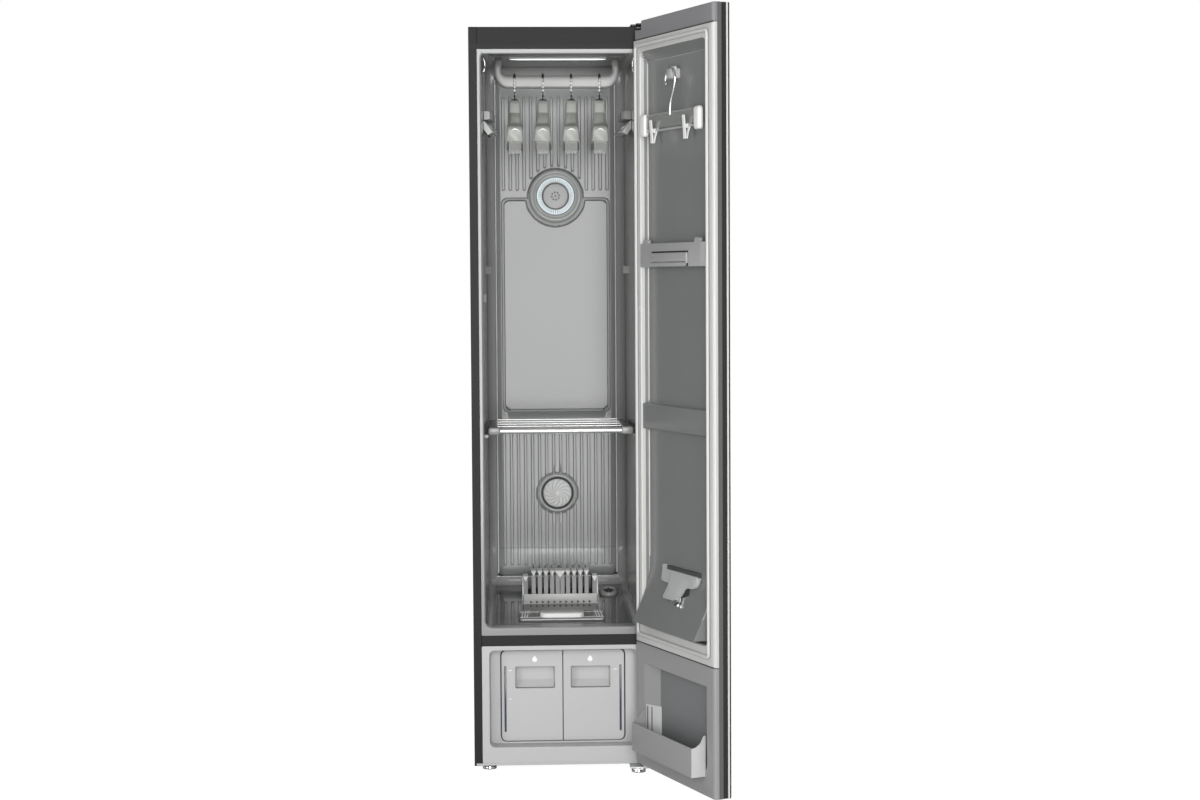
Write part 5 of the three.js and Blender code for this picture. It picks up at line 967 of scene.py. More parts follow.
# The floor sheet keeps the liner's real gloss but is a much darker grey than the liner under it: painted shade.
floor_shaded_gloss = plain("floor_gloss_painted_shade", (92, 93, 92), 0.07, mottle=0.02, roughness_spread=0.01)
foot_y = 0.428
foot_radius = 0.0214
sweep_line = [(y, floor_at(y) + 0.0004) for y in (0.03, 0.1, 0.2, 0.3, 0.4, foot_y)]
for step in range(1, 9):
    angle = math.radians(90 * step / 8)
    sweep_line.append((foot_y + foot_radius * math.sin(angle),
                       floor_at(foot_y) + 0.022 - foot_radius * math.cos(angle)))
verts = []
faces = []
sweep_xs = [-1.0, -0.985, -0.96, -0.5, 0.0, 0.5, 0.96, 0.985, 1.0]
for y, z in sweep_line:
    half = min(wall_half_at(y) - 0.0165, 0.174)
    for share in sweep_xs:
        lift = 0.0006 if abs(share) == 1.0 else 0.0
        verts.append(at(share * half, y, z + lift))
for row in range(len(sweep_line) - 1):
    for k in range(len(sweep_xs) - 1):
        base = row * len(sweep_xs) + k
        faces.append((base, base + 1, base + len(sweep_xs) + 1, base + len(sweep_xs)))
flat_faces = (len(sweep_line) - 9) * (len(sweep_xs) - 1)
flat_count = (len(sweep_line) - 8) * len(sweep_xs)
make("cavity_floor_sheen", verts[:flat_count], faces[:flat_faces], floor_shaded_gloss, "liner_grey", "cabinet")
# The curved foot between floor and rear wall is a dark grey: painted shade over a face that catches the light.
foot_start = flat_count - len(sweep_xs)
make("cavity_floor_foot", verts[foot_start:], [tuple(index - foot_start for index in face)
                                               for face in faces[flat_faces:]],
     plain("floor_foot", (66, 67, 66), 0.4, specular=0.2), "liner_grey", "cabinet")
filter_y0 = 0.23
filter_y1 = 0.35
filter_half = 0.098
filter_low = floor_at(filter_y0) + 0.0004
band_top = filter_low + 0.026
frame_parts = []
for y0, y1, z_top in ((filter_y0, filter_y0 + 0.003, band_top),
                      (filter_y1 - 0.003, filter_y1, band_top + 0.03)):
    rows = [[at(u, (y0 + y1) / 2 + v, z) for u, v in rounded_ring(half, (y1 - y0) / 2, 0.0012, 2)]
            for z, half in ((floor_at(y0) + 0.0006, filter_half - 0.003), (floor_at(y0) + 0.004, filter_half),
                            (z_top - 0.003, filter_half), (z_top, filter_half - 0.0015))]
    frame_parts.append(lofted(rows))
for side in (-1, 1):
    wall = [[at(x, filter_y0, floor_at(filter_y0) + 0.0006), at(x, filter_y0, band_top),
             at(x, filter_y0 + 0.012, band_top + 0.042), at(x, filter_y1, band_top + 0.03),
             at(x, filter_y1, floor_at(filter_y1) + 0.0006)] for x in (side * (filter_half - 0.003),
            side * filter_half)]
    frame_parts.append(lofted(wall))


def fin(x, fronts, back_y, back_half):
    """Points and faces of an upright fin; each level gives the place, height and half width in front."""
    return lofted([[at(x - half, y, z), at(x + half, y, z), at(x + back_half, back_y, z + 0.006),
                    at(x - back_half, back_y, z + 0.006)] for y, z, half in fronts])


def wedge(x, half, drop, top, back, ends):
    """Points and faces of a fin's wedge-shaped crown; each end gives its place, rise and size."""
    return lofted([[at(x - half * size, y + back, top + lean), at(x, y - 0.0035, top - drop * size + lean),
                    at(x + half * size, y + back, top + lean)] for y, lean, size in ends])


fin_bodies = []
wedges = []
for k in range(9):
    x = (k - 4) * 0.016 + (0.0045 if k > 4 else -0.0045 if k < 4 else 0)
    middle_fin = k == 4
    wide = 0.0115 if middle_fin else 0.0052
    crown = 0.014 if middle_fin else 0.0066
    drop = 0.017 if middle_fin else 0.013
    top = band_top + 0.0585
    y_front = filter_y0 + 0.004
    fin_bodies.append(fin(x, ((y_front, filter_low + 0.004, wide), (y_front + 0.006, top - 0.014, wide),
                              (y_front + 0.01, top - 0.004, wide * 0.8)), filter_y1 - 0.004, wide * 0.3))
    wedges.append(wedge(x, crown, drop, top, 0.004, ((y_front + 0.005, 0.0, 1.0),
                                                     (y_front + 0.03, 0.004, 0.9))))
for side in (-1, 1):
    x = side * 0.0895
    fin_front = filter_y0 + 0.006
    fin_bodies.append(fin(x, ((fin_front, filter_low + 0.022, 0.0058), (fin_front, band_top + 0.04, 0.0058)),
                          filter_y1 - 0.02, 0.0058))
    wedges.append(wedge(x, 0.007, 0.013, band_top + 0.045, 0.002, ((fin_front, 0.0, 1.0),
            (filter_y0 + 0.03, 0.004, 0.9))))
centre_line = [[at(x, y, z) for x, y in ((-0.0006, filter_y0 + 0.0034), (0.0006, filter_y0 + 0.0034),
                                         (0.0006, filter_y0 + 0.006), (-0.0006, filter_y0 + 0.006))]
               for z in (filter_low + 0.006, band_top + 0.036)]
# Painted shade darkens the frame's colour in its corners.
filter_plastic = plain("filter_plastic", (176, 177, 175), 0.35, crevice=0.3, crevice_reach=0.02)
make("lint_filter_frame", *merged(frame_parts), filter_plastic, "pale_grey", "lint_filter", ["lint_filter"],
     flat_over=40)
make("lint_filter_fins", *merged(fin_bodies), plain("filter_fin_plastic", (112, 113, 112), 0.4),
     "pale_grey", "lint_filter", flat_over=30)
make("lint_filter_wedges", *merged(wedges), plain("filter_wedge_plastic", (214, 215, 213), 0.35),
     "pale_grey", "lint_filter", flat_over=30)
make("lint_filter_centre_line", *lofted(centre_line), dark_detail_and_painted_shade, "pale_grey", "lint_filter", flat_over=30)
fleece = finish("fleece", shade(92, 93, 93), 0.9, mottle=0.3, mottle_size=0.003)
fleece_rows = [[at(-0.094, filter_y0 + 0.02, filter_low + 0.006),
                at(0.094, filter_y0 + 0.02, filter_low + 0.006),
                at(0.094, filter_y1 - 0.006, filter_low + 0.018),
                at(-0.094, filter_y1 - 0.006, filter_low + 0.018)]]
fleece_rows.append([point + Vector((0, 0, 0.006)) for point in fleece_rows[0]])
make("lint_filter_fleece", *lofted(fleece_rows), fleece, "pale_grey", "lint_filter", flat_over=30)
band_holes = []
for k in range(11):
    x = (k - 5) * 0.0152
    band_holes.append(turned([(0.0042, filter_y0 - 0.0004), (0.0042, filter_y0 + 0.0006)],
                             (x, filter_low + 0.0052), 3))
make("lint_filter_holes", *merged(band_holes), dark_detail_and_painted_shade, "pale_grey", "lint_filter", flat_over=30)

# Aroma tray: a low lift-out strip of glossy dark plastic in front of the filter, with a pale rounded
# grip and slanted end marks. It lies loose in the floor.
tray_rows = []
tray_half = 0.1085
for y, shrink, lift in ((0.061, 0.01, 0.003), (0.0625, 0.003, 0.007), (0.068, 0.0, 0.0086),
                        (0.095, 0.0, 0.0088), (0.128, 0.0, 0.0088), (0.134, 0.004, 0.006)):
    rows = [at(x, y, floor_at(y) + z) for x, z in ((-tray_half + shrink, 0.0008), (tray_half - shrink, 0.0008),
                                                   (tray_half - shrink, lift - 0.0012),
                                                   (tray_half - shrink - 0.002, lift),
                                                   (-tray_half + shrink + 0.002, lift),
                                                   (-tray_half + shrink, lift - 0.0012))]
    tray_rows.append(rows)
tray_plastic = plain("tray_plastic", (100, 101, 100), 0.08, mottle=0.02)
make("aroma_tray_strip", *lofted(tray_rows), tray_plastic, "pale_grey", "aroma_tray", ["aroma_tray"],
     edge=0.0008)
grip_y = 0.0785
grip_rows = [[at(u, grip_y + v, floor_at(grip_y + v) + z)
              for u, v in rounded_ring(0.0555 - shrink, 0.015 - shrink, 0.0115 - shrink, 6)]
             for z, shrink in ((0.006, 0.0), (0.016, 0.0), (0.0178, 0.0008), (0.0188, 0.0024),
                               (0.0192, 0.0044))]
make("aroma_tray_grip", *lofted(grip_rows), plain("grip_white", (196, 197, 195), 0.35),
     "pale_grey", "aroma_tray", flat_over=60)
# Thin pale strips along the tray's front and back edges are painted highlights.
edges = [lofted([[at(x, y + v, floor_at(y) + z + w) for v, w in ((-0.0007, -0.001), (0.0007, -0.001),
        (0.0007, 0.0006), (-0.0007, 0.0006))] for x in (-tray_half + 0.003, tray_half - 0.003)])
         for y, z in ((0.066, 0.0086), (0.115, 0.0089))]
make("aroma_tray_edge_highlights", *merged(edges), bezel_plastic, "pale_grey", "aroma_tray", flat_over=30)
mark_front = 0.066
mark_back = 0.128
sign_white_tray = plain("tray_mark_white", (236, 236, 235), 0.4)
marks = []
for side in (-1, 1):
    for k in range(3):
        x0 = side * (0.088 + 0.0066 * k)
        rows = [[at(x0 - 0.0013, mark_front, floor_at(mark_front) + z),
                 at(x0 + 0.0013, mark_front, floor_at(mark_front) + z),
                 at(x0 + 0.0013 - side * 0.004, mark_back, floor_at(mark_back) + z),
                 at(x0 - 0.0013 - side * 0.004, mark_back, floor_at(mark_back) + z)] for z in (0.0086, 0.0096)]
        marks.append(lofted(rows))
make("aroma_tray_marks", *merged(marks), sign_white_tray, "pale_grey", "aroma_tray", flat_over=30)

# Tank bay: the pale moulded plinth with its shallow recess, fixed to the base pan. The two tank
# fronts sit flush in it.
# Painted shade darkens the plinth and tank grey in corners and gaps.
tank_plastic = finish("tank_plastic", shade(178, 178, 178), 0.4, mottle=0.015, mottle_size=0.1,
                      grain_size=0.0007, grain_depth=0.00001, crevice=0.3, crevice_reach=0.02, specular=0.4)
coat_node("tank_bay", tank_plastic, 0.002, 3)

# Tanks: each is a moulded tub behind a satin front with a sunk grip, a dark level window, white level
# ticks and a small plain sign; the wording of the real fronts is left off.
tank_low = 0.068
tank_high = 0.296
tank_corner = 0.0125
sign_white = plain("sign_white", (238, 238, 238), 0.5)
level_window = plain("level_window", (66, 70, 82), 0.12)


def front_loop(low_x, high_x, low_z, high_z, corner, grow=0.0, steps=6, corner_right=None):
    """An upright rounded outline between four limits, as (x, z) pairs; the right corners may differ."""
    loop = []
    right = corner if corner_right is None else corner_right
    for x, z, sign_x, sign_z, radius, start in ((high_x, high_z, 1, 1, right, 0),
                                                (low_x, high_z, -1, 1, corner, 90),
                                                (low_x, low_z, -1, -1, corner, 180),
                                                (high_x, low_z, 1, -1, right, 270)):
        radius = max(0.0003, radius + grow)
        for step in range(steps + 1):
            angle = math.radians(start + 90 * step / steps)
            loop.append((x + sign_x * (grow - radius) + radius * math.cos(angle),
                         z + sign_z * (grow - radius) + radius * math.sin(angle)))
    return loop


def front_slab(outline, planes):
    """Points and faces of an outline in x and z, run from plane to plane in y."""
    return lofted([[at(x, y, z) for x, z in outline] for y in planes])


mark_planes = (0.0381, 0.0377)
for side, word in ((-1, "supply"), (1, "drain")):
    body = f"{word}_tank"
    low_x, high_x = (-0.154, -0.0009) if side < 0 else (0.0009, 0.154)
    grip_low, grip_high = (-0.119, -0.02) if side < 0 else (0.02, 0.119)
    outer = []
    corners = (tank_corner, 0.0012) if side < 0 else (0.0012, tank_corner)
    for y, grow in ((0.064, 0.0), (0.039, 0.0), (0.0383, -0.0003), (0.038, -0.001), (0.038, -0.0016)):
        outer.append([(x, y, z) for x, z in front_loop(low_x, high_x, tank_low, tank_high, corners[0], grow, 6,
                                                       corners[1])])
    sink = [[(x, y, z) for x, z in front_loop(grip_low, grip_high, 0.2005, 0.2553, 0.0035, grow)]
            for y, grow in ((0.038, 0.0012), (0.038, 0.0006), (0.0384, 0.0), (0.055, -0.0012), (0.057, -0.004))]
    shell = lofted([[at(*point) for point in ring] for ring in outer + sink])
    make(f"{word}_tank_front", *shell, tank_plastic, "tank_grey", body, [f"{word}_tank"], flat_over=25)
    tub_low, tub_high = sorted((side * 0.0065, side * 0.1485))
    tub = [[at(x, y, z) for x, z in front_loop(tub_low, tub_high, tank_low + 0.0005, tank_high - 0.0055, 0.01,
                                               grow)] for y, grow in ((0.064, 0.0), (0.198, -0.002),
            (0.204, -0.004), (0.2055, -0.008))]
    make(f"{word}_tank_tub", *lofted(tub), duct_plastic, "tank_grey", body, flat_over=40)
    slope = [[at(x, 0.0566, 0.202), at(x, 0.0566, 0.219), at(x, 0.046, 0.202)]
             for x in (grip_low + 0.0016, grip_high - 0.0016)]
    make(f"{word}_tank_grip_slope", *lofted(slope), tank_plastic, "tank_grey", body, flat_over=20)
    window_x = side * 0.1445
    window = [[at(x, y, z) for x, z in front_loop(window_x - 0.0026, window_x + 0.0026, 0.0905, 0.2575, 0.0024,
                                                  grow, 3)] for y, grow in ((0.039, 0.0), (0.0377, 0.0),
            (0.0374, -0.0006))]
    make(f"{word}_tank_window", *lofted(window), level_window, "tank_grey", body, flat_over=50)
    parts = []
    for z, width in ((0.246, 0.0085), (0.174, 0.005)) if side < 0 else ((0.2462, 0.0085),):
        middle = side * 0.132
        parts.append(front_slab([(middle + u, z + v) for u, v in rounded_ring(width / 2, 0.0009, 0.0008, 2)],
                                mark_planes))
    middle = (grip_low + grip_high) / 2 - 0.001
    outline = []
    for k in range(20):
        angle = 2 * math.pi * k / 20
        taper = 0.0062 * (1 - 0.55 * max(0.0, math.sin(angle)) ** 1.5)
        outline.append((middle + taper * math.cos(angle),
                        0.2728 + (0.009 if math.sin(angle) > 0 else 0.0058) * math.sin(angle)))
    parts.append(front_slab(outline, mark_planes))
    make(f"{word}_tank_marks", *merged(parts), sign_white, "tank_grey", body, flat_over=30)
# Painted shade: a thin dark line round both tank fronts and one between them stand for the shade in their gaps.
outline_shade_rows = [[at(x, y, z) for x, z in front_loop(-0.154, 0.154, tank_low, tank_high, tank_corner, grow, 8)]
             for y, grow in ((0.0384, 0.0022), (0.0377, 0.002), (0.0377, 0.0009), (0.0384, 0.0007))]
make("tank_outline_seal", *lofted(outline_shade_rows + outline_shade_rows[:1], False), dark_detail_and_painted_shade, "tank_grey", "cabinet",
     flat_over=30)
split_shade_strip = front_slab(((-0.0006, tank_low), (0.0006, tank_low), (0.0006, tank_high), (-0.0006, tank_high)),
                   (0.0379, 0.04))
make("tank_split_seal", *split_shade_strip, dark_detail_and_painted_shade, "tank_grey", "cabinet", flat_over=30)

# Plinth lip: a thin lip of the same pale plastic under the tank bay. It is moulded in one with the
# plinth and covers the base pan's folded front edge.
lip_rows = run_across(((-0.0003, 0.015), (-0.0003, 0.02), (0.003, 0.02), (0.003, 0.0144), (0.0006, 0.0142)),
                      (-0.2172, -0.2165, 0.2165, 0.2172))
make("base_pan_front_lip", *lip_rows, tank_plastic, "tank_grey", "cabinet", flat_over=30)

# Levelling feet and hinges: each foot is a turned disc of bright zinc-plated steel on a threaded stem
# in the base pan. The door turns on a pressed bracket below and a black arm with a washer above.
for number, (x, y) in enumerate(((-0.185, 0.036), (0.185, 0.036), (-0.185, 0.488), (0.185, 0.488)), 1):
    low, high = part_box(f"foot_{number}")
    middle = ((low.x + high.x) / 2 - mid_x, (low.y + high.y) / 2 - front_y)
    profile = [(0.0165, 0.0), (0.0174, 0.0008), (0.0174, 0.0062), (0.0168, 0.0078), (0.015, 0.0088),
               (0.008, 0.0092), (0.0078, 0.013), (0.0066, 0.0134)]
    profile += [(0.005 - 0.0004 * (k % 2), 0.014 + 0.0007 * k) for k in range(18)]
    make(f"foot_disc_{number}", *upright(profile, middle, 40), chrome, "chrome", f"foot_{number}",
         [f"foot_{number}"], flat_over=40)
hinge_disc = upright([(0.0168, 0.0006), (0.0176, 0.0014), (0.0176, 0.0068), (0.0168, 0.0084), (0.012, 0.009),
                      (0.006, 0.0092)], (0.185, -0.03), 40)
make("hinge_glide_disc", *hinge_disc, chrome, "chrome", "cabinet", flat_over=40)
bracket_zinc = plain("bracket_zinc", (190, 192, 193), 0.4, metallic=0.5)
washer_grey = plain("washer_grey", (112, 113, 114), 0.6, specular=0.2)
coat_node("hinge_bottom", bracket_zinc, 0.0006)
hinge_black = plain("hinge_black", (20, 20, 21), 0.4)
coat_node("hinge_top", hinge_black, 0.0008)
arm = [[at(x, y, z) for x, z in ((left + shrink, 1.8424), (0.203 - shrink, 1.8424),
                                 (0.203 - shrink, 1.847 - shrink * 0.3), (left + shrink, 1.847 - shrink * 0.3))]
       for y, left, shrink in ((-0.0358, 0.188, 0.005), (-0.035, 0.188, 0.003), (-0.033, 0.188, 0.0012),
                               (-0.029, 0.188, 0.0), (-0.0075, 0.188, 0.0), (-0.006, 0.178, 0.0),
                               (-0.004, 0.176, 0.0), (0.056, 0.176, 0.0), (0.057, 0.176, 0.001))]
make("hinge_top_arm", *lofted(arm), hinge_black, "charcoal_steel", "cabinet", flat_over=30)
washer = [[at(x, y, z) for x, y in ((0.189, -0.0345), (0.199, -0.0345), (0.201, -0.0325), (0.201, -0.01),
                                    (0.1882, -0.01), (0.1882, -0.0335))] for z in (1.8345, 1.8372)]
make("hinge_top_washer", *lofted(washer), washer_grey, "chrome", "cabinet", flat_over=30)

# Door frame: a satin grey moulding in three visible parts: a top band, a lower panel with a recess for
# the pocket, and the dark edge that runs down the free side between the liner and the glass.
door_joint = next(joint for joint in frame["record"]["behaviour"]["joints"] if joint["name"] == "door_hinge")
pin = Vector(door_joint["pos_m"])
swing = -math.radians(door_joint["range_deg"][0])


def on_door(t, n, z):
    """A place on the open door: along from its hinge edge, out from its inner face, up from the floor."""
    x = 0.018 - t
    y = 0.02 - n
    return Vector((pin.x + x * math.cos(swing) - y * math.sin(swing),
                   pin.y + x * math.sin(swing) + y * math.cos(swing), z))


door_wide = 0.445
# The top band's grey is a darker copy of the lower panel's: painted shade on the higher, less lit part of the
# moulding.
door_top_band_painted_shade = finish("door_top_band_painted_shade", shade(128, 128, 130), 0.42, mottle=0.02, mottle_size=0.2,
                      grain_size=0.0007, grain_depth=0.00001, specular=0.4)
panel_plastic = finish("door_panel_plastic", shade(144, 144, 145), 0.42, mottle=0.02, mottle_size=0.2,
                       grain_size=0.0007, grain_depth=0.00001, specular=0.4)
edge_plastic = plain("door_edge_plastic", (96, 96, 95), 0.45, mottle=0.02, mottle_size=0.2, specular=0.3)
# The pale strip behind the door's black edge is a painted highlight: the glint on the glass's edge.
glass_edge_painted_glint = plain("glass_edge_painted_glint", (210, 208, 204), 0.3)
# The pale rim grey also paints highlights: on the upper part of the recess's walls, on the hinge-side creases
# and on some edges.
rim_and_highlight_plastic = plain("door_rim_and_painted_highlight", (192, 192, 190), 0.26, mottle=0.02, mottle_size=0.2, specular=0.5)
recess_plastic = finish("door_recess_plastic", shade(120, 122, 121), 0.24, mottle=0.03, mottle_size=0.3,
                        grain_size=0.0015, grain_depth=0.00001)
coat_black = plain("carrier_black", (34, 34, 33), 0.5)
lower_recess = plain("door_lower_recess_plastic", (112, 113, 114), 0.4, mottle=0.03, mottle_size=0.3)
coat_node("door_carrier", coat_black)
pane_glass = finish("pane_glass", (0.01, 0.01, 0.012, 1), 0.05, mottle=0.0, grain_depth=0,
                    roughness_spread=0.01)
coat_node("door_pane", pane_glass, 0.001, 3)


def door_slab(outline, levels):
    """Points and faces of an outline in t and z, run through the door from level to level."""
    return lofted([[on_door(t, n, z) for t, z in outline] for n in levels])


def door_oblong(t0, t1, n0, n1, z):
    """Four door places round an oblong section at one height."""
    return [on_door(t0, n0, z), on_door(t1, n0, z), on_door(t1, n1, z), on_door(t0, n1, z)]


def sheet(names, t_lines, z_lines, depth_at, back, choose, finishes, slot, body, hidden=()):
    """A moulded sheet over a grid of door places, split into pieces by a choice per face."""
    cols = len(t_lines)
    points = [on_door(t, depth_at(t, z), z) for z in z_lines for t in t_lines]
    groups = {name: [] for name in names}
    for r in range(len(z_lines) - 1):
        for c in range(cols - 1):
            middle_t = (t_lines[c] + t_lines[c + 1]) / 2
            middle_z = (z_lines[r] + z_lines[r + 1]) / 2
            groups[choose(middle_t, middle_z)].append((r * cols + c, r * cols + c + 1, (r + 1) * cols + c + 1,
                                                       (r + 1) * cols + c))
    last = (len(z_lines) - 1) * cols
    loop = (list(range(cols)) + [r * cols + cols - 1 for r in range(1, len(z_lines))]
            + [last + c for c in range(cols - 2, -1, -1)] + [r * cols for r in range(len(z_lines) - 2, 0, -1)])
    start = len(points)
    for index in loop:
        row, column = divmod(index, cols)
        points.append(on_door(t_lines[column], back, z_lines[row]))
    for k in range(len(loop)):
        after = (k + 1) % len(loop)
        groups[names[0]].append((loop[k], loop[after], start + after, start + k))
    for name, material in zip(names, finishes):
        used = sorted({index for face in groups[name] for index in face})
        place = {index: k for k, index in enumerate(used)}
        make(name, [points[index] for index in used], [tuple(place[index] for index in face)
                                                       for face in groups[name]], material, slot, body,
             hidden if name == names[0] else (), flat_over=75)


def edge_round(t, z, low, high, side_round, level_round):
    """How far a sheet's face falls back near its outer edges."""
    side = min(t, door_wide - t)
    level = min(z - low, high - z)
    fall = 0.0
    for off, size in ((side, side_round), (level, level_round)):
        if off < size:
            fall = max(fall, size * (1 - math.sqrt(max(0.0, 1 - (1 - off / size) ** 2))))
    return fall


skin_back = 0.0203
panel_low = 0.0215
panel_high = 0.3262
pocket_low = 0.085
pocket_top = 0.279


def lower_depth(t, z):
    """The lower panel's skin: a recess with a slanted wall on its hinge side."""
    depth = edge_round(t, z, panel_low, panel_high, 0.008, 0.0015)
    if pocket_low < z < pocket_top and 0.053 < t < 0.405:
        slant = min(1.0, (t - 0.053) / 0.055)
        free = smooth_step(0.405 - t, 0.0, 0.003)
        level = smooth_step(min(pocket_top - z, z - pocket_low), 0.0, 0.003)
        depth = max(depth, skin_back * min(slant, free, level))
    return depth


low_ts = spaced([0, 0.0006, 0.0015, 0.003, 0.005, 0.008, 0.0525, 0.053, 0.0536, 0.106, 0.108, 0.11, 0.4015,
                 0.402, 0.4027, 0.4035, 0.4042, 0.405, 0.4056, 0.437, 0.44, 0.442, 0.4435, 0.4444, door_wide],
                0.02)
low_zs = spaced([panel_low, panel_low + 0.0005, panel_low + 0.0015, pocket_low - 0.0004, pocket_low,
                 pocket_low + 0.0008, pocket_low + 0.0016, pocket_low + 0.0023, pocket_low + 0.003,
                 pocket_top - 0.003, pocket_top - 0.0023, pocket_top - 0.0016, pocket_top - 0.0008, pocket_top,
                 pocket_top + 0.0004, panel_high - 0.0015, panel_high - 0.0005, panel_high], 0.03)


def lower_part(t, z):
    """The piece to which one place of the lower skin belongs."""
    sunk = 0.1065 < t < 0.403 and pocket_low + 0.002 < z < pocket_top - 0.002
    return "door_lower_recess" if sunk else "door_lower_panel"


sheet(["door_lower_panel", "door_lower_recess"], low_ts, low_zs, lower_depth, skin_back, lower_part,
      [panel_plastic, lower_recess], "door_grey", "door", ["door_frame"])
band_low = 1.8062
band_high = 1.85
band_ts = spaced([0.0514, 0.052, 0.0532, 0.056, 0.437, 0.44, 0.442, 0.4435, 0.4444, door_wide], 0.05)
band_zs = [band_low, band_low + 0.0006, band_low + 0.0015, 1.815, 1.83, 1.84, band_high - 0.004,
           band_high - 0.002, band_high - 0.0008, band_high]


def band_depth(t, z):
    """The top band's skin, which is rounded at its free side but not at the hinge."""
    return edge_round(max(t, 0.2), z, band_low, band_high, 0.008, 0.004)


sheet(["door_top_band"], band_ts, band_zs, band_depth, skin_back, lambda t, z: "door_top_band", [door_top_band_painted_shade],
      "door_grey", "door")
step_rows = [[on_door(t, n, z) for t, z in ((0.015 + shrink, band_low + shrink), (0.0513, band_low + shrink),
                                            (0.0513, 1.8268 - shrink), (0.015 + shrink, 1.8292 - shrink))]
             for n, shrink in ((skin_back, 0.0), (0.0008, 0.0), (0.0, 0.0008))]
make("door_top_band_step", *lofted(step_rows), door_top_band_painted_shade, "door_grey", "door", flat_over=30)
core = door_slab(((0.0005, 0.0222), (0.4445, 0.0222), (0.4445, 1.8494), (0.0518, 1.8494), (0.0518, 1.8266),
                  (0.0005, 1.8266)), (0.0206, 0.0266))
make("door_core", *core, edge_plastic, "door_grey", "door", flat_over=30)
for name, n0, n1, material, slot in (("door_edge_grey", 0.0122, 0.0225, edge_plastic, "door_grey"),
                                     ("door_edge_black", 0.0227, 0.0342, coat_black, "black_plastic"),
                                     ("door_edge_glint", 0.0346, 0.0392, glass_edge_painted_glint, "pane_black")):
    rows = [door_oblong(0.4446, 0.4456 - shrink, n0 + shrink, n1 - shrink, z)
            for z, shrink in ((0.0224, 0.0006), (0.023, 0.0), (1.849, 0.0), (1.8496, 0.0006))]
    make(name, *lofted(rows), material, slot, "door", flat_over=30)
for name, low, high, front in (("door_panel_seam", 0.3263, 0.3279, 0.003),
                               ("door_top_seam", 1.8048, 1.8061, 0.0024)):
    seam = door_slab(((0.0004, low), (0.4448, low), (0.4448, high), (0.0004, high)), (front, 0.019))
    make(name, *seam, coat_black, "door_grey", "door", flat_over=30)

# Door liner: one vacuum-formed sheet. A pale rim runs round a deep grey recess, a belt crosses the
# recess, and a drip lip flares out at its foot.
liner_low = 0.328
liner_high = 1.8047
recess_left, recess_right, recess_low, recess_high = 0.042, 0.412, 0.372, 1.775
recess_depth = 0.0202
brow_low = 1.7498
foot_low = 0.385
foot_high = 0.54


def foot_flare(z):
    """How far the liner's foot sweeps out over the gutter at one height."""
    return 0.051 * (1 - math.cos(math.pi / 2 * min(1.0, (foot_high - z) / 0.155)))


def liner_depth(t, z):
    """How far the liner's skin lies behind the inner face at one place; less than nought stands out."""
    reach = box_reach(t - (recess_left + recess_right) / 2, z, (recess_right - recess_left) / 2, recess_low,
                      recess_high, 0.024)
    depth = edge_round(t, z, liner_low, liner_high, 0.008, 0.0035)
    if reach > -0.0005:
        return depth - 0.0006 * max(0.0, 1 - ((reach - 0.0022) / 0.0027) ** 2)
    depth = recess_depth * smooth_step(-reach, 0.0003, 0.0045) ** 0.8
    depth = min(depth, recess_depth * (1 - smooth_step(z, brow_low, 1.7504) * (z - brow_low) / 0.0252))
    belt = smooth_step(z, 0.8555, 0.8605) * (1 - smooth_step(z, 0.9175, 0.9225))
    depth -= 0.0165 * belt * smooth_step(-reach, 0.0003, 0.0045)
    across = smooth_step(t, 0.0485, 0.0505) * (1 - smooth_step(t, 0.397, 0.399))
    if foot_low <= z < foot_high:
        depth -= foot_flare(z) * across
    return depth


t_lines = spaced([0, 0.0008, 0.002, 0.004, 0.007, 0.011, 0.016, 0.022, 0.028, 0.0345, 0.037, 0.0385, 0.0395,
                  0.0405, 0.0413, 0.042, 0.0427, 0.0434, 0.0442, 0.045, 0.0458, 0.0466, 0.048, 0.049, 0.05,
                  0.051, 0.055, 0.066, 0.392, 0.3965, 0.3975, 0.3985, 0.3995, 0.402, 0.4066, 0.4074, 0.4082,
                  0.409, 0.4098, 0.4106, 0.4113, 0.412, 0.4127, 0.4135, 0.4145, 0.4155, 0.417, 0.419, 0.424,
                  0.429, 0.434, 0.438, 0.441, 0.443, 0.4442, door_wide], 0.012)
edge_steps = (0.0, 0.0008, 0.0016, 0.0024, 0.0032, 0.004, 0.0048, 0.008, 0.012, 0.016, 0.02, 0.024)
z_lines = spaced([liner_low, liner_low + 0.001, liner_low + 0.0025, liner_low + 0.004, liner_low + 0.0065,
                  0.3655, 0.368, 0.37, 0.371] + [recess_low + step for step in edge_steps[:7]] + [0.3845,
        0.38499, foot_low, 0.388, 0.392, 0.396, 0.404, 0.412, 0.42, 0.43, 0.44, 0.45, 0.46, 0.48, 0.5, 0.52,
        0.54] + [base + step * 0.0008 for base in (0.8547, 0.9168) for step in range(9)] + [recess_high - step
        for step in edge_steps] + [1.7484, brow_low, 1.7502, 1.7506, 1.776, 1.777, 1.7795,
                                   1.783] + [liner_high - 0.0065, liner_high - 0.004, liner_high - 0.0025,
                                             liner_high - 0.001, liner_high], 0.022)


# The upper part of the recess's walls takes the pale rim grey: a painted highlight.
def liner_part(t, z):
    """The piece to which one place of the liner's skin belongs."""
    reach = box_reach(t - 0.227, z, 0.185, recess_low, recess_high, 0.024)
    if reach < -0.001 and z > 1.7484 and t > 0.046:
        return "door_liner_brow"
    return "door_liner_recess" if reach < -0.0018 else "door_liner_rim"


# The slanted top wall of the recess, which faces down, gets a darker grey than the recess: painted shade.
brow_shaded_plastic = plain("door_brow_painted_shade", (112, 114, 113), 0.24)
sheet(["door_liner_rim", "door_liner_recess", "door_liner_brow"], t_lines, z_lines, liner_depth, 0.0147,
      liner_part, [rim_and_highlight_plastic, recess_plastic, brow_shaded_plastic], "door_liner_grey", "door", ["door_liner"])

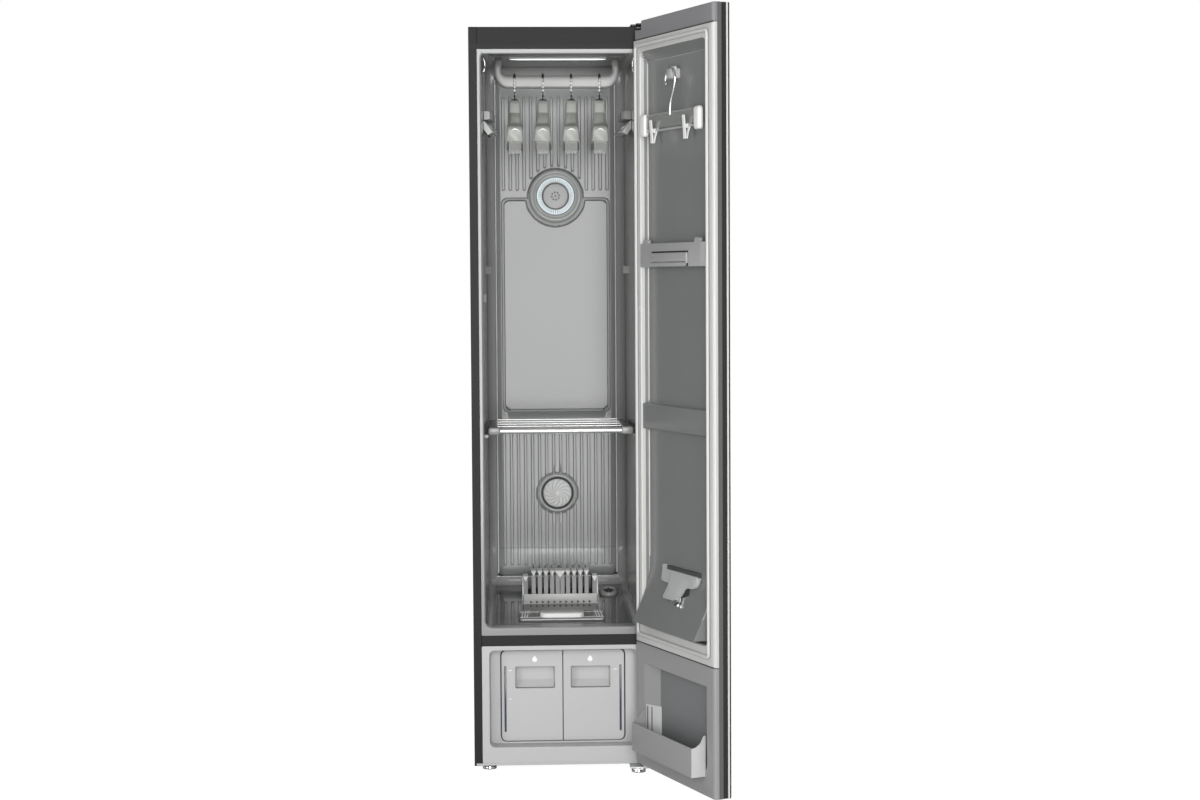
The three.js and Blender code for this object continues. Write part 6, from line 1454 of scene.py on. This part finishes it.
# Pale strips at the foot of the slanted top wall and down the recess's hinge-side wall are painted highlights.
crease = [[on_door(t, 0.0204 - 0.0017 * grow * math.sin(math.radians(a)),
                   brow_low + 0.0009 * grow * math.cos(math.radians(a))) for a in range(0, 181, 30)]
          for t, grow in ((0.047, 0.3), (0.049, 1.0), (0.25, 0.7), (0.406, 0.2))]
make("door_liner_crease_highlight", *lofted(crease), plain("crease_painted_highlight", (184, 185, 183), 0.2),
     "door_liner_grey", "door", flat_over=60)
side_creases = [lofted([[on_door(0.0468 + 0.0014 * grow * math.cos(math.radians(a)),
                                 0.0198 - 0.002 * grow * math.sin(math.radians(a)), z)
                         for a in range(0, 181, 30)] for z, grow in zip(heights, (0.3, 1.0, 1.0, 0.3))])
                for heights in ((0.926, 0.929, 1.744, 1.747), (0.542, 0.545, 0.85, 0.853))]
make("door_liner_side_creases", *merged(side_creases), rim_and_highlight_plastic, "door_liner_grey", "door", flat_over=60)

# Gasket: a soft pale rubber seal, extruded and pressed into a groove of the liner's rim. It meets the
# cavity's flange when the door shuts.
seal_rubber = plain("seal_rubber", (196, 196, 194), 0.5)
coat_node("door_gasket", seal_rubber, 0.002, 3)

# Peg for the trouser hanger: a small block, moulded with the liner, with a notch between two prongs
# in which the hanger's hook lies.


def door_block(low_t, high_t, low_z, high_z, corner, steps, levels):
    """A block with a rounded outline; each level gives its place n and how far the outline shrinks."""
    rings = []
    for n, shrink in levels:
        outline = front_loop(low_t, high_t, low_z, high_z, corner, -shrink, steps)
        rings.append([on_door(t, n, z) for t, z in outline])
    return lofted(rings)


peg_plastic = plain("peg_plastic", (190, 190, 188), 0.3)
peg_parts = []
for n0, n1, t0, t1, z0, z1 in ((-0.0076, -0.0036, 0.211, 0.238, 1.694, 1.718),
                               (0.004, 0.01, 0.21, 0.236, 1.694, 1.724),
                               (-0.0037, 0.0042, 0.212, 0.234, 1.694, 1.7122),
                               (0.0095, 0.0212, 0.212, 0.23, 1.696, 1.72)):
    prong = door_block(t0, t1, z0, z1, 0.005, 4, ((n0, 0.0012), (n0 + 0.001, 0.0), (n1 - 0.001, 0.0),
                                                  (n1, 0.0012)))
    if n1 < 0:
        front_prong = prong
    else:
        peg_parts.append(prong)
make("trouser_peg", *merged(peg_parts), peg_plastic, "door_liner_grey", "door", flat_over=50)
make("trouser_peg_front", *front_prong, plain("peg_front_plastic", (160, 160, 159), 0.3),
     "door_liner_grey", "door", flat_over=50)

# Press bar: a moulded crossbar, fixed over the recess, with a folding flap that presses a crease. A
# dark sheet behind the flap is painted shade in the gap round it.
bar_plastic_door = finish("press_bar_plastic", shade(158, 158, 159),
                          0.36, grain_size=0.0007, grain_depth=0.00001, mottle=0.02)
bar_low, bar_high = 1.2518, 1.3088
parts = [door_block(0.044, 0.41, bar_low, bar_high, 0.0025, 3, ((0.0205, 0.0), (-0.0008, 0.0),
        (-0.0018, 0.0006), (-0.0021, 0.0018)))]
for t0, t1 in ((0.064, 0.09), (0.35, 0.378)):
    rows = [door_oblong(t0 + shrink, t1 - shrink, -0.002, 0.006, z) for z, shrink in ((bar_high - 0.002, 0.0),
            (bar_high + 0.007, 0.001), (bar_high + 0.0092, 0.003), (bar_high + 0.0098, 0.006))]
    parts.append(lofted(rows))
make("press_bar_body", *merged(parts), bar_plastic_door, "door_grey", "door", ["press_bar"], flat_over=35)
end_rows = door_slab(front_loop(0.383, 0.4096, bar_low + 0.0012, bar_high - 0.0012, 0.002, 0, 3),
                     (-0.002, -0.0026))
make("press_bar_end", *end_rows, plain("press_bar_end_plastic", (172, 172, 171), 0.36),
     "door_grey", "door", flat_over=30)
gap_shade_rows = door_slab(front_loop(0.113, 0.317, 1.2524, 1.2892, 0.0015, 0, 3), (-0.0022, -0.0026))
make("press_bar_gap_painted_shade", *gap_shade_rows, dark_detail_and_painted_shade, "door_grey", "door", flat_over=30)
flap_left, flap_right = 0.115, 0.312
flap_levels = ((-0.0024, 0.0), (-0.0042, 0.0), (-0.0052, 0.0008), (-0.0055, 0.002))
flap_lip_levels = ((-0.0048, 0.0), (-0.0052, 0.0004), (-0.0055, 0.0016))
flap = door_block(flap_left, flap_right, 1.2596, 1.2852, 0.003, 3, flap_levels)
flap_lip = door_block(flap_left, flap_right, 1.2526, 1.266, 0.003, 3, flap_lip_levels)
make("press_flap", *merged([flap, flap_lip]), bar_plastic_door, "door_grey", "press_latch", ["press_latch"],
     flat_over=35)
flap_edge = door_slab(((0.3123, 1.26), (0.315, 1.26), (0.315, 1.2845), (0.3123, 1.2845)), (-0.0025, -0.005))
make("press_flap_edge", *flap_edge, rim_and_highlight_plastic, "door_grey", "press_latch", flat_over=30)

# Hem clip: a T-shaped press plate that follows the curve of the liner's foot, with a sprung metal clip
# below its stem.
clip_grey = plain("hem_clip_plastic", (172, 173, 173), 0.34, mottle=0.02)
outline = [(0.142, 0.535), (0.152, 0.535), (0.162, 0.5262), (0.17, 0.525), (0.336, 0.525), (0.3405, 0.5225),
           (0.341, 0.519), (0.338, 0.508), (0.33, 0.499), (0.318, 0.4948), (0.298, 0.4948), (0.286, 0.4925),
           (0.276, 0.4865), (0.262, 0.472), (0.248, 0.4615), (0.232, 0.4575), (0.18, 0.4575), (0.176, 0.46),
           (0.176, 0.465), (0.186, 0.49), (0.184, 0.494), (0.148, 0.496), (0.1425, 0.499), (0.1415, 0.505)]


door_recess_n = 0.021
plate_thick = 0.0125


def plate_depth(z):
    """The plate's front follows the liner's flare, one plate's thickness before it."""
    return door_recess_n - foot_flare(z) - plate_thick


middle_t = sum(t for t, z in outline) / len(outline)
middle_z = sum(z for t, z in outline) / len(outline)
dense = []
for (t0, z0), (t1, z1) in zip(outline, outline[1:] + outline[:1]):
    steps = max(1, int(max(abs(t1 - t0) / 0.012, abs(z1 - z0) / 0.006)))
    dense += [(t0 + (t1 - t0) * k / steps, z0 + (z1 - z0) * k / steps) for k in range(steps)]
rows = []
for inset, lift in ((0.0, 0.01), (0.0, 0.0018), (0.001, 0.0005), (0.0026, 0.0)):
    ring = []
    for t, z in dense:
        far = math.hypot(t - middle_t, z - middle_z)
        pt = t - (t - middle_t) / far * inset
        pz = z - (z - middle_z) / far * inset
        ring.append(on_door(pt, plate_depth(pz) + lift, pz))
    rows.append(ring)
verts, faces = lofted(rows, False)
plate_mesh = bmesh.new()
corners = [plate_mesh.verts.new(v) for v in verts]
for face in faces:
    plate_mesh.faces.new([corners[index] for index in face])
plate_mesh.faces.new([corners[index] for index in range(len(dense) * 3, len(dense) * 4)])
plate_mesh.faces.new([corners[index] for index in range(len(dense) - 1, -1, -1)])
bmesh.ops.triangulate(plate_mesh, faces=plate_mesh.faces)
plate_mesh.verts.ensure_lookup_table()
plate_mesh.verts.index_update()
verts = [v.co.copy() for v in plate_mesh.verts]
faces = [tuple(v.index for v in face.verts) for face in plate_mesh.faces]
plate_mesh.free()
make("hem_plate", verts, faces, clip_grey, "pale_grey", "door", ["hem_clip"], flat_over=32)
# A pale strip along the plate's lower curved edge is a painted highlight on its lit edge.
edge_highlight_rows = []
edge_path = [(0.341, 0.52), (0.3385, 0.509), (0.3305, 0.4998), (0.3185, 0.495), (0.2985, 0.4948),
             (0.2865, 0.4925), (0.2765, 0.4865), (0.2625, 0.4722), (0.2485, 0.4617), (0.2325, 0.4577)]
for t, z in edge_path:
    n = plate_depth(z)
    edge_highlight_rows.append([on_door(t - 0.0012, n - 0.0004, z), on_door(t + 0.001, n - 0.0002, z),
                      on_door(t + 0.0012, n + 0.007, z), on_door(t - 0.0012, n + 0.007, z)])
make("hem_plate_edge_highlight", *lofted(edge_highlight_rows), rim_and_highlight_plastic, "pale_grey", "door", flat_over=50)
# A dark sheet behind the plate's top edge is painted shadow in the hollow between plate and liner.
shadow_rows = door_slab(((0.164, 0.5225), (0.339, 0.5225), (0.339, 0.5335), (0.164, 0.5335)), (0.012, 0.0206))
make("hem_plate_painted_shadow", *shadow_rows, plain("hem_painted_shadow", (70, 71, 71), 0.5),
     "pale_grey", "door", flat_over=30)
spring_parts = []
leaf = [door_oblong(t - 0.01, t + 0.01, n, n + 0.0012, z) for t, n, z in ((0.245, 0.008, 0.487),
        (0.249, 0.003, 0.47), (0.252, -0.001, 0.458), (0.25, -0.006, 0.448))]
spring_parts.append(lofted(leaf))
for t, n, z, half in ((0.248, 0.007, 0.484, 0.013), (0.25, -0.005, 0.449, 0.01)):
    barrel = [[on_door(t + off, n + u, z + v) for u, v in circle(0.003, 12)]
              for off in (-half, half)]
    spring_parts.append(lofted(barrel))
make("hem_spring_leaf", *merged(spring_parts), chrome, "chrome", "hem_spring", ["hem_spring"], flat_over=40)
hood_rows = door_slab(((0.233, 0.459), (0.29, 0.476), (0.29, 0.49), (0.25, 0.49), (0.233, 0.47)), (0.006, 0.01))
make("hem_spring_seat", *hood_rows, dark_detail_and_painted_shade, "chrome", "hem_spring", flat_over=30)

# Trouser hanger: a chromed hook, a clear plate and rod between two white end caps, and two pegs that
# slide on the rod.
wire = [(0.2, -0.002, 1.682), (0.1965, -0.002, 1.69), (0.1975, -0.0015, 1.702), (0.204, -0.0008, 1.712),
        (0.214, 0.0, 1.7172), (0.227, 0.0, 1.7178), (0.238, 0.0, 1.713), (0.2435, 0.0, 1.702),
        (0.244, 0.0, 1.688), (0.24, 0.0, 1.674), (0.233, -0.0005, 1.66), (0.226, -0.001, 1.646),
        (0.2215, -0.0015, 1.632), (0.22, -0.002, 1.608)]


def on_door_wire(path, radius, sides=12):
    """Points and faces of a wire through door places."""
    smooth = []
    for k in range(len(path) - 1):
        p0, p1, p2, p3 = (Vector(path[max(0, min(len(path) - 1, k + off))]) for off in (-1, 0, 1, 2))
        for step in range(4):
            s = step / 4
            smooth.append(0.5 * ((2 * p1) + (p2 - p0) * s + (2 * p0 - 5 * p1 + 4 * p2 - p3) * s * s
                                 + (3 * p1 - 3 * p2 + p3 - p0) * s ** 3))
    smooth.append(Vector(path[-1]))
    rings = []
    up = Vector((0, 1, 0))
    for k, point in enumerate(smooth):
        along = (smooth[min(len(smooth) - 1, k + 1)] - smooth[max(0, k - 1)]).normalized()
        side = up
        other = along.cross(side).normalized()
        side = other.cross(along).normalized()
        rings.append([on_door(*(point + radius * (math.cos(2 * math.pi * j / sides) * side
                                                  + math.sin(2 * math.pi * j / sides) * other)))
                      for j in range(sides)])
    return lofted(rings)


make("trouser_hook_wire", *on_door_wire(wire, 0.0029), chrome, "chrome", "trouser_hanger", ["trouser_hook"])
white_cap = plain("white_cap_plastic", (226, 226, 224), 0.25, mottle=0.01)
caps = []
for t0, t1 in ((0.056, 0.086), (0.358, 0.388)):
    rows = [[on_door((t0 + t1) / 2 + u, -0.001 + v, z)
             for u, v in rounded_ring((t1 - t0) / 2 - shrink, 0.0075 - shrink, 0.0065 - shrink, 5)]
            for z, shrink in ((1.567, 0.004), (1.5685, 0.0018), (1.572, 0.0004), (1.58, 0.0), (1.608, 0.0),
                              (1.615, 0.0006), (1.6185, 0.0022), (1.62, 0.0046))]
    caps.append(lofted(rows))
make("trouser_end_caps", *merged(caps), white_cap, "hanger_grey", "trouser_hanger", ["trouser_bar"],
     flat_over=60)
rows = door_slab(((0.084, 1.583), (0.084, 1.612), (0.092, 1.6165), (0.352, 1.6165), (0.36, 1.612),
                  (0.36, 1.583)), (-0.0025, 0.001))
make("trouser_clear_plate", *rows, clear_plastic("clear_plate", shade(150, 152, 150), 0.22, 0.1),
     "hanger_grey", "trouser_hanger", flat_over=30)
rod_parts = []
for z, n, radius in ((1.578, -0.0005, 0.0026), (1.6165, -0.0008, 0.0017)):
    barrel = [[on_door(t, n + u, z + v) for u, v in circle(radius, 12)]
              for t in (0.085, 0.359)]
    rod_parts.append(lofted(barrel))
make("trouser_rods", *merged(rod_parts), clear_plastic("clear_rod", shade(196, 198, 196), 0.18, 0.42),
     "hanger_grey", "trouser_hanger", flat_over=50)
for word, middle in (("near", 0.13), ("far", 0.314)):
    jaws = []
    for n_top, n_mid, n_low in ((-0.0115, -0.0098, -0.008), (0.013, 0.0042, -0.004)):
        rows = [door_oblong(middle - wide, middle + wide, n - thick, n + thick, z)
                for z, n, wide, thick in ((1.6035, n_top, 0.0042, 0.0012), (1.602, n_top, 0.005, 0.0016),
                                          (1.579, n_mid, 0.005, 0.0018),
                                          (1.564, (n_mid + n_low * 2) / 3, 0.0049, 0.0017),
                                          (1.55, n_low, 0.0054, 0.0016), (1.5482, n_low, 0.0046, 0.0012))]
        jaws.append(lofted(rows))
    barrel = [[on_door(middle + off, -0.0028 + u, 1.578 + v) for u, v in circle(0.0054, 14)]
              for off in (-0.0054, 0.0054)]
    jaws.append(lofted(barrel))
    make(f"trouser_peg_{word}", *merged(jaws), white_cap, "hanger_grey", f"clip_{word}", [f"clip_{word}"],
         flat_over=35)

# Door pocket: a moulded tub of grey plastic with raised ears; its free end wall and inner slant get
# a paler copy of the grey, painted light on faces turned towards the lamps. It sits in the lower
# panel's recess and lifts out.
# Both pocket greys are darkened by painted shade in corners; the paler one is a lit copy of the grey.
pocket_grey = finish("pocket_plastic", shade(146, 146, 147), 0.36, grain_size=0.0007, grain_depth=0.00001,
                     mottle=0.02, crevice=0.35, crevice_reach=0.03)
pocket_lit_plastic = plain("pocket_side_painted_light", (196, 196, 196), 0.36, mottle=0.02, crevice=0.35, crevice_reach=0.03)


def door_column(section, heights):
    """Points and faces of a section in t and n that stands on the door between two heights."""
    return lofted([[on_door(t, n, z) for t, n in section] for z in heights])


def pocket_wall(t0, t1, outline, material, name, hidden=()):
    """An upright end wall of the pocket between two places along the door."""
    rows = [[on_door(t, n, z) for n, z in outline] for t in (t0, t1)]
    make(name, *lofted(rows), material, "pale_grey", "door_pocket", hidden, flat_over=40)


ear = [(-0.035, 0.0665), (0.0195, 0.0665), (0.0195, 0.179), (0.002, 0.172), (-0.001, 0.166), (-0.006, 0.164),
       (-0.015, 0.151), (-0.025, 0.139), (-0.035, 0.1345)]
free_ear = [(-0.035, 0.0665), (0.001, 0.0665), (0.001, 0.1625), (-0.003, 0.162), (-0.007, 0.154),
            (-0.012, 0.145), (-0.024, 0.1365), (-0.035, 0.1345)]
pocket_wall(0.056, 0.059, ear, pocket_grey, "pocket_hinge_wall", ["door_pocket"])
pocket_wall(0.3925, 0.3955, free_ear, pocket_lit_plastic, "pocket_free_wall")
front_rows = [[on_door(0.06 + (0.01 if z < 0.065 else 0.004), -0.036 + push, z),
               on_door(0.39, -0.036 + push, z), on_door(0.395, -0.0345 + push, z), on_door(0.395, -0.033, z),
               on_door(0.0585, -0.033, z), on_door(0.0585, -0.0345 + push, z)] for z, push in ((0.064, 0.004),
        (0.066, 0.001), (0.07, 0.0), (0.133, 0.0), (0.1346, 0.0003), (0.1352, 0.0012))]
make("pocket_front", *lofted(front_rows), pocket_grey, "pale_grey", "door_pocket", flat_over=40)
base_rows = door_column(((0.059, -0.034), (0.393, -0.034), (0.393, 0.001), (0.059, 0.019)), (0.0665, 0.0692))
make("pocket_base", *base_rows, pocket_grey, "pale_grey", "door_pocket", flat_over=30)
slant_rows = door_column(((0.0592, 0.002), (0.0602, 0.002), (0.112, 0.0188), (0.112, 0.0196), (0.0592, 0.0196)),
                         (0.07, 0.1785))
make("pocket_inner_slant", *slant_rows, pocket_lit_plastic, "pale_grey", "door_pocket", flat_over=30)
line_parts = [lofted([[on_door(t + a, n + b, z) for a, b in ((-0.0005, -0.0006), (0.0014, 0.0), (0.0014, 0.001),
        (-0.0005, 0.0004))] for z in (0.0705, 0.174)]) for t, n in ((0.0645, 0.003), (0.079, 0.0078))]
make("pocket_inner_lines", *merged(line_parts), dark_detail_and_painted_shade, "pale_grey", "door_pocket", flat_over=30)
back_rows = door_column(((0.112, 0.0176), (0.39, 0.0176), (0.39, 0.0196), (0.112, 0.0196)), (0.07, 0.1))
make("pocket_back", *back_rows, pocket_grey, "pale_grey", "door_pocket", flat_over=30)
